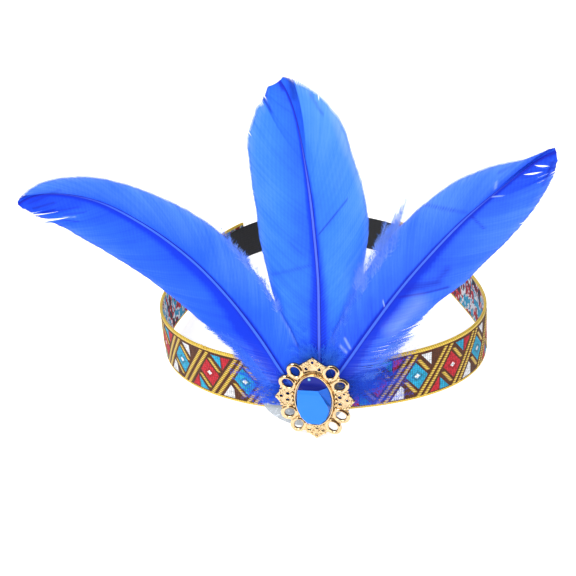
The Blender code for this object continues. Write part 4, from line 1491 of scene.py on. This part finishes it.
def add_bead(batch, x, y, radius, level):
    """A round bead."""
    turn = once_round(14)
    rise = np.linspace(-math.pi / 2, math.pi / 2, 9)[1:-1]
    angle, up = np.meshgrid(turn, rise, indexing="xy")
    flat = np.array((x, y)) + oval((radius, radius), angle) * np.cos(up)[..., None]
    grid = np.concatenate((flat, (level + radius * np.sin(up))[..., None]), axis=-1)
    # Lighter on top, darker underneath: partly tarnish, partly painted shade
    tube(batch, grid, np.sin(up)[..., None])


def plate_outline(turn):
    """Outline of the pierced plate: an oval with a round lobe at each ring and four points."""
    way = stacked(np.cos(turn), np.sin(turn))
    reach = 1 / np.hypot(way[:, 0] / PLATE_HALF[0], way[:, 1] / PLATE_HALF[1])
    lobe = RING_HOLE[0] + RING_WIRE
    for centre, _ in rings():
        along = way @ np.array(centre)
        off = np.abs(way[:, 0] * centre[1] - way[:, 1] * centre[0])
        inside = (along > 0) & (off < lobe)
        far = along + np.sqrt(np.maximum(lobe ** 2 - off ** 2, 0.0))
        reach = np.where(inside, np.maximum(reach, far), reach)
    for axis in (0, 1):
        along, off = np.abs(way[:, axis]), np.abs(way[:, 1 - axis])
        inside = off * TIP_REACH[axis] < along * TIP_HALF_WIDTH * 2
        far = TIP_REACH[axis] / (along + TIP_LENGTH / TIP_HALF_WIDTH * off)
        reach = np.where(inside, np.maximum(reach, far), reach)
    return way * reach[:, None]


def add_loop(curve, points):
    """A closed straight-sided spline through flat points."""
    spline = curve.splines.new("POLY")
    spline.points.add(len(points) - 1)
    for spot, point in zip(points, spline.points):
        point.co = (spot[0], spot[1], 0.0, 1.0)
    spline.use_cyclic_u = True


def turned(points, centre, angle):
    """Flat points turned by an angle and moved to a centre."""
    c, s = math.cos(angle), math.sin(angle)
    return points @ np.array([[c, s], [-s, c]]) + np.array(centre)


def plate_mesh():
    """The flat pierced plate with rounded edges, as points and faces."""
    curve = bpy.data.curves.new("plate", "CURVE")
    curve.dimensions = "2D"
    curve.fill_mode = "BOTH"
    curve.extrude = PLATE_THICK / 2 - PLATE_ROUNDING
    curve.bevel_depth = PLATE_ROUNDING
    curve.bevel_resolution = 3
    curve.offset = -PLATE_ROUNDING
    around = once_round(420)
    add_loop(curve, plate_outline(around))
    small = once_round(32)
    for centre, angle in rings():
        add_loop(curve, turned(oval(RING_HOLE, small, PLATE_HOLE_MORE), centre, angle))
    tiny = once_round(16)
    for x, y, half_x, half_y, angle in HOLES:
        add_loop(curve, turned(oval((half_x, half_y), tiny), (x, y), math.radians(angle)))
    holder = add_object("plate", curve)
    mesh = bpy.data.meshes.new_from_object(holder.evaluated_get(bpy.context.evaluated_depsgraph_get()))
    bpy.data.objects.remove(holder)
    points = np.array([vert.co for vert in mesh.vertices])
    points[:, 2] += PLATE_THICK / 2
    faces = [list(face.vertices) for face in mesh.polygons]
    bpy.data.meshes.remove(mesh)
    return points, faces


def add_rings(batch):
    """The eight rings, each with a dark arc of painted reflection."""
    around = once_round(56)
    wire = RING_WIRE * (1 + 0.06 * np.cos(around))
    for centre, angle in rings():
        add_wire(batch, turned(oval(RING_HOLE, around, RING_WIRE), centre, angle), wire, RING_LEVEL)
        # A dark wire along part of each ring: painted reflection
        start = math.radians(REFLECTION_ARC_FROM) - angle
        reflection_arc = oval(RING_HOLE, np.linspace(start, start + REFLECTION_ARC_TURN, 14), REFLECTION_ARC_OUT)
        reflection_arc = turned(reflection_arc, centre, angle)
        add_wire(batch, reflection_arc, REFLECTION_ARC_WIRE, RING_LEVEL + REFLECTION_ARC_RISE, closed=False, tone=-1.0)


def add_setting(batch):
    """The wall round the stone, and round it the beaded rope with its slots; the rope is dark as painted
    shade between the beads.
    """
    around = once_round(160)
    wall = oval(STONE_HALF, around, STONE_GAP + WALL_THICK / 2)
    # The wall is darker low down: partly tarnish, partly painted shade
    add_swept(batch, wall, *WALL_SECTION.T, WALL_SECTION[:, 1] / 2.0 - 0.55)
    rope = oval(STONE_HALF, around, ROPE_OUT)
    # Tone 0 keeps the rope evenly dark: painted shade between the beads
    add_wire(batch, rope, ROPE_WIRE, ROPE_LEVEL, tone=0.0)
    for k, (x, y) in enumerate(rope[::4]):
        if k not in SLOT_BEADS:
            add_bead(batch, x, y, ROPE_BEAD, ROPE_BEAD_LEVEL)
    for start, end in SLOTS:
        slot = oval(STONE_HALF, np.radians(np.linspace(start, end, 12)), SLOT_OUT)
        # A dark wire sunk into the plate: painted shade in a slot
        add_wire(batch, slot, SLOT_WIRE, PLATE_THICK - SLOT_SUNK, closed=False, tone=-1.0)


def add_scrolls(batch):
    """Rims round the piercings, beads and curled wires at the four points of the brooch."""
    around = once_round(24)
    for x, y, half_x, half_y, angle in HOLES:
        rim = turned(oval((half_x, half_y), around, RIM_OUT), (x, y), math.radians(angle))
        add_wire(batch, rim, RIM_WIRE, PLATE_THICK)
    for x, y, radius in BEADS:
        for spot in sorted(set(four_ways(x, y))):
            add_bead(batch, *spot, radius, PLATE_THICK)
    for start, end, size, shrink, middle, stretch, wire in CURLS:
        turn = np.linspace(start, end, 26)
        reach = size - shrink * turn
        path = np.array(middle) + oval((reach, reach), turn) * np.array(stretch)
        thin = np.linspace(wire, CURL_END_WIRE, len(turn))
        for way in four_ways(1, 1):
            add_wire(batch, path * np.array(way), thin, CURL_LEVEL, closed=False)


def build_brooch_frame():
    """The pierced casting: plate, rings, setting, and the beads and scrolls at its points."""
    batch = Batch()
    points, faces = plate_mesh()
    level = points[:, 2:] / PLATE_THICK
    # The plate is darker towards its back: partly tarnish, partly painted shade
    batch.add(points, marks=np.broadcast_to(level * 0.45 - 0.1, points.shape))
    batch.faces += faces
    add_rings(batch)
    add_setting(batch)
    add_scrolls(batch)
    return batch.piece("brooch_casting", brooch_look(), ["brooch_frame"], place=BROOCH_PLACE)


def brooch_look():
    """Polished pale gold with fine casting marks; darker low down and under its wires and beads, partly
    tarnish in its hollows and partly painted shade.
    """
    look = Look("pale_gold_casting", 0.20, metallic=1.0)
    level = look.mark()[0]
    cloud = look.noise(look.spot(), 0.6, 3.0)
    fine = look.noise(look.spot(), 2.5, 2.0)
    colour = look.mix(cloud, (0.76, 0.53, 0.26), (0.90, 0.70, 0.42))
    # Low marks give the dark colour: tarnish and painted shade, and on the darkened arcs, slots and rope
    # painted reflection and painted shade
    tone = clamped(level * 2.2 + cloud * 0.8 - 0.25)
    look.set("Base Color", look.mix(tone, (0.085, 0.036, 0.010), colour))
    look.set("Roughness", 0.12 + cloud * 0.14)
    look.bump(fine * 0.5 + cloud * 0.5, 0.10)
    return look.material


def stone_look():
    """Blue glass over foil, with painted light: each facet's blue is lighter or darker as painted
    reflection, the table's upper part has painted shade and one spot a painted glint.
    """
    look = Look("blue_stone", 0.06, Specular_IOR_Level=0.18)
    tone, across, up = look.mark()
    cloud = look.noise(look.spot(), 0.12, 2.0)
    colour = look.mix(clamped(tone * 1.25), (0.014, 0.013, 0.24), (0.018, 0.20, 0.88))
    colour = look.mix(clamped(tone * 2.5 - 1.7 + cloud * 0.4 - 0.2), colour, (0.031, 0.23, 0.88))
    table = above(tone, 0.9, 0.02)
    # The table's upper part deeper blue: painted shade
    colour = look.mix(table * above(up, 4.6, 0.8) * 0.35, colour, (0.010, 0.17, 0.86))
    # A small painted glint near the table's top
    painted_glint = above(up, 9.9, 0.3) * below(up, 10.9, 0.3) * below(absolute(across + 1.5), 0.5, 0.3)
    look.set("Base Color", look.mix(painted_glint * 0.8, colour, (0.30, 0.75, 0.85)))
    return look.material


def build_stone():
    """The faceted stone, each facet with its own points so that its edges stay sharp."""
    batch = Batch()

    def facet(corners, tone):
        """One flat facet and how light it is painted, as painted reflection."""
        corners = np.array(corners)
        marks = np.column_stack((np.full(len(corners), tone), corners[:, :2]))
        batch.add(corners, [list(range(len(corners)))], marks=marks)

    def girdle(angles, level):
        """Points on the stone's outline, at angles in degrees."""
        return [(*point, level) for point in oval(STONE_HALF, np.radians(angles))]

    count = len(STONE_CORNERS)
    facet([(x, y, STONE_TOP) for x, y, _, _ in STONE_CORNERS], 1.0)
    for k, (x, y, angle, tone) in enumerate(STONE_CORNERS):
        next_x, next_y, next_angle, _ = STONE_CORNERS[(k + 1) % count]
        next_angle += 360 * (next_angle < angle)
        steps = max(2, round((next_angle - angle) / 8))
        rim = girdle(np.linspace(angle, next_angle, steps), STONE_GIRDLE)
        facet([(x, y, STONE_TOP), *rim, (next_x, next_y, STONE_TOP)], tone)
    around = np.linspace(0, 360, 60, endpoint=False)
    top, bottom = girdle(around, STONE_GIRDLE), girdle(around, STONE_BACK)
    for k in range(len(around)):
        after = (k + 1) % len(around)
        facet([bottom[k], bottom[after], top[after], top[k]], 0.3)
    facet(bottom[::-1], 0.3)
    nodes = ["brooch_stone"]
    return batch.piece("blue_stone", stone_look(), nodes, smooth=False, place=BROOCH_PLACE)


# Camera: where the photograph was taken from, about the band's frame, in degrees and mm
CAMERA_ELEVATION = 26.4818
CAMERA_AZIMUTH = 2.6337
CAMERA_ROLL = -2.7144
CAMERA_DISTANCE = 424.743
CAMERA_ASIDE = (18.6038, -15.4222)
CAMERA_LENS = 50.0
CAMERA_SENSOR = 36.0

# Studio, in metres
FLOOR_REACH = 4.0
LIGHTS_AIM = (0.0, -0.02, 0.06)
LIGHTS = (
    # name, place, size, power
    ("key", (-0.7, -1.0, 1.3), 0.9, 17),
    ("fill", (0.5, -1.4, 0.6), 0.8, 6),
    ("back", (0.1, 1.3, 1.2), 1.0, 10),
)

# The sky and its dark side, which the metal reflects: where it is and how near to it the dark begins
SKY_STRENGTH = 0.42
DARK_SIDE = (0.72, 0.51, 0.44)
DARK_SIDE_EDGE = 0.79
DARK_SIDE_DEPTH = 0.40


def place_camera():
    """The camera at the photograph's angle."""
    elevation, azimuth = math.radians(CAMERA_ELEVATION), math.radians(CAMERA_AZIMUTH)
    back = Vector((
        math.sin(azimuth) * math.cos(elevation),
        -math.cos(azimuth) * math.cos(elevation),
        math.sin(elevation),
    ))
    level = Vector((math.cos(azimuth), math.sin(azimuth), 0.0))
    upright = back.cross(level)
    roll = math.radians(CAMERA_ROLL)
    right = level * math.cos(roll) + upright * math.sin(roll)
    up = upright * math.cos(roll) - level * math.sin(roll)
    eye = back * CAMERA_DISTANCE - right * CAMERA_ASIDE[0] - up * CAMERA_ASIDE[1]
    data = bpy.data.cameras.new("camera")
    data.lens = CAMERA_LENS
    data.sensor_width = CAMERA_SENSOR
    data.clip_start = 0.01
    data.clip_end = 50.0
    facing = Matrix((right, up, back)).transposed().to_4x4()
    spot = REST @ Matrix.Translation(eye) @ facing
    turned_to = spot.to_quaternion().to_matrix().to_4x4()
    camera = add_object("camera", data)
    camera.matrix_world = Matrix.Translation(spot.to_translation()) @ turned_to
    bpy.context.scene.camera = camera


def add_light(name, place, size, power):
    """A soft square light that faces the object."""
    data = bpy.data.lights.new(name, "AREA")
    data.size = size
    data.energy = power
    light = add_object(name, data)
    light.location = place
    light.rotation_euler = (Vector(LIGHTS_AIM) - Vector(place)).to_track_quat("-Z", "Y").to_euler()


def build_stage():
    """A pale floor, soft lights and a bright sky with a darker side for the metal to reflect."""
    mesh = bpy.data.meshes.new("floor")
    corners = [(x, y, 0.0) for x, y in four_ways(FLOOR_REACH, FLOOR_REACH)]
    mesh.from_pydata(corners, [], [(0, 1, 2, 3)])
    look = Look("pale_floor", 0.9)
    look.set("Base Color", (0.93, 0.93, 0.93, 1.0))
    look.set("Emission Color", (1.0, 1.0, 1.0, 1.0))
    look.set("Emission Strength", 0.60)
    mesh.materials.append(look.material)
    floor = add_object("floor", mesh)
    world = bpy.data.worlds.new("studio")
    bpy.context.scene.world = world
    world.use_nodes = True
    tree = world.node_tree
    sky = tree.nodes["Background"]
    sky.inputs["Color"].default_value = (1.0, 1.0, 1.0, 1.0)
    way = add_node(tree, "ShaderNodeTexCoord", {}, "Generated")
    sides = (way, Vector(DARK_SIDE).normalized())
    facing = add_node(tree, "ShaderNodeVectorMath", sides, "Value", operation="DOT_PRODUCT")
    dark = above(facing, DARK_SIDE_EDGE, 0.05)
    join(sky.inputs["Strength"], SKY_STRENGTH - DARK_SIDE_DEPTH * dark)
    for light in LIGHTS:
        add_light(*light)
    bpy.context.scene.view_settings.view_transform = "Standard"


place_camera()
build_stage()
ribbon = build_ribbon()
gold = build_gold()
elastic = build_elastic()
build_pad()
build_feathers()
build_brooch_frame()
build_stone()

elastic_length = LOOP.girth - 2 * (RIBBON_HALF_LENGTH - ELASTIC_LAP)
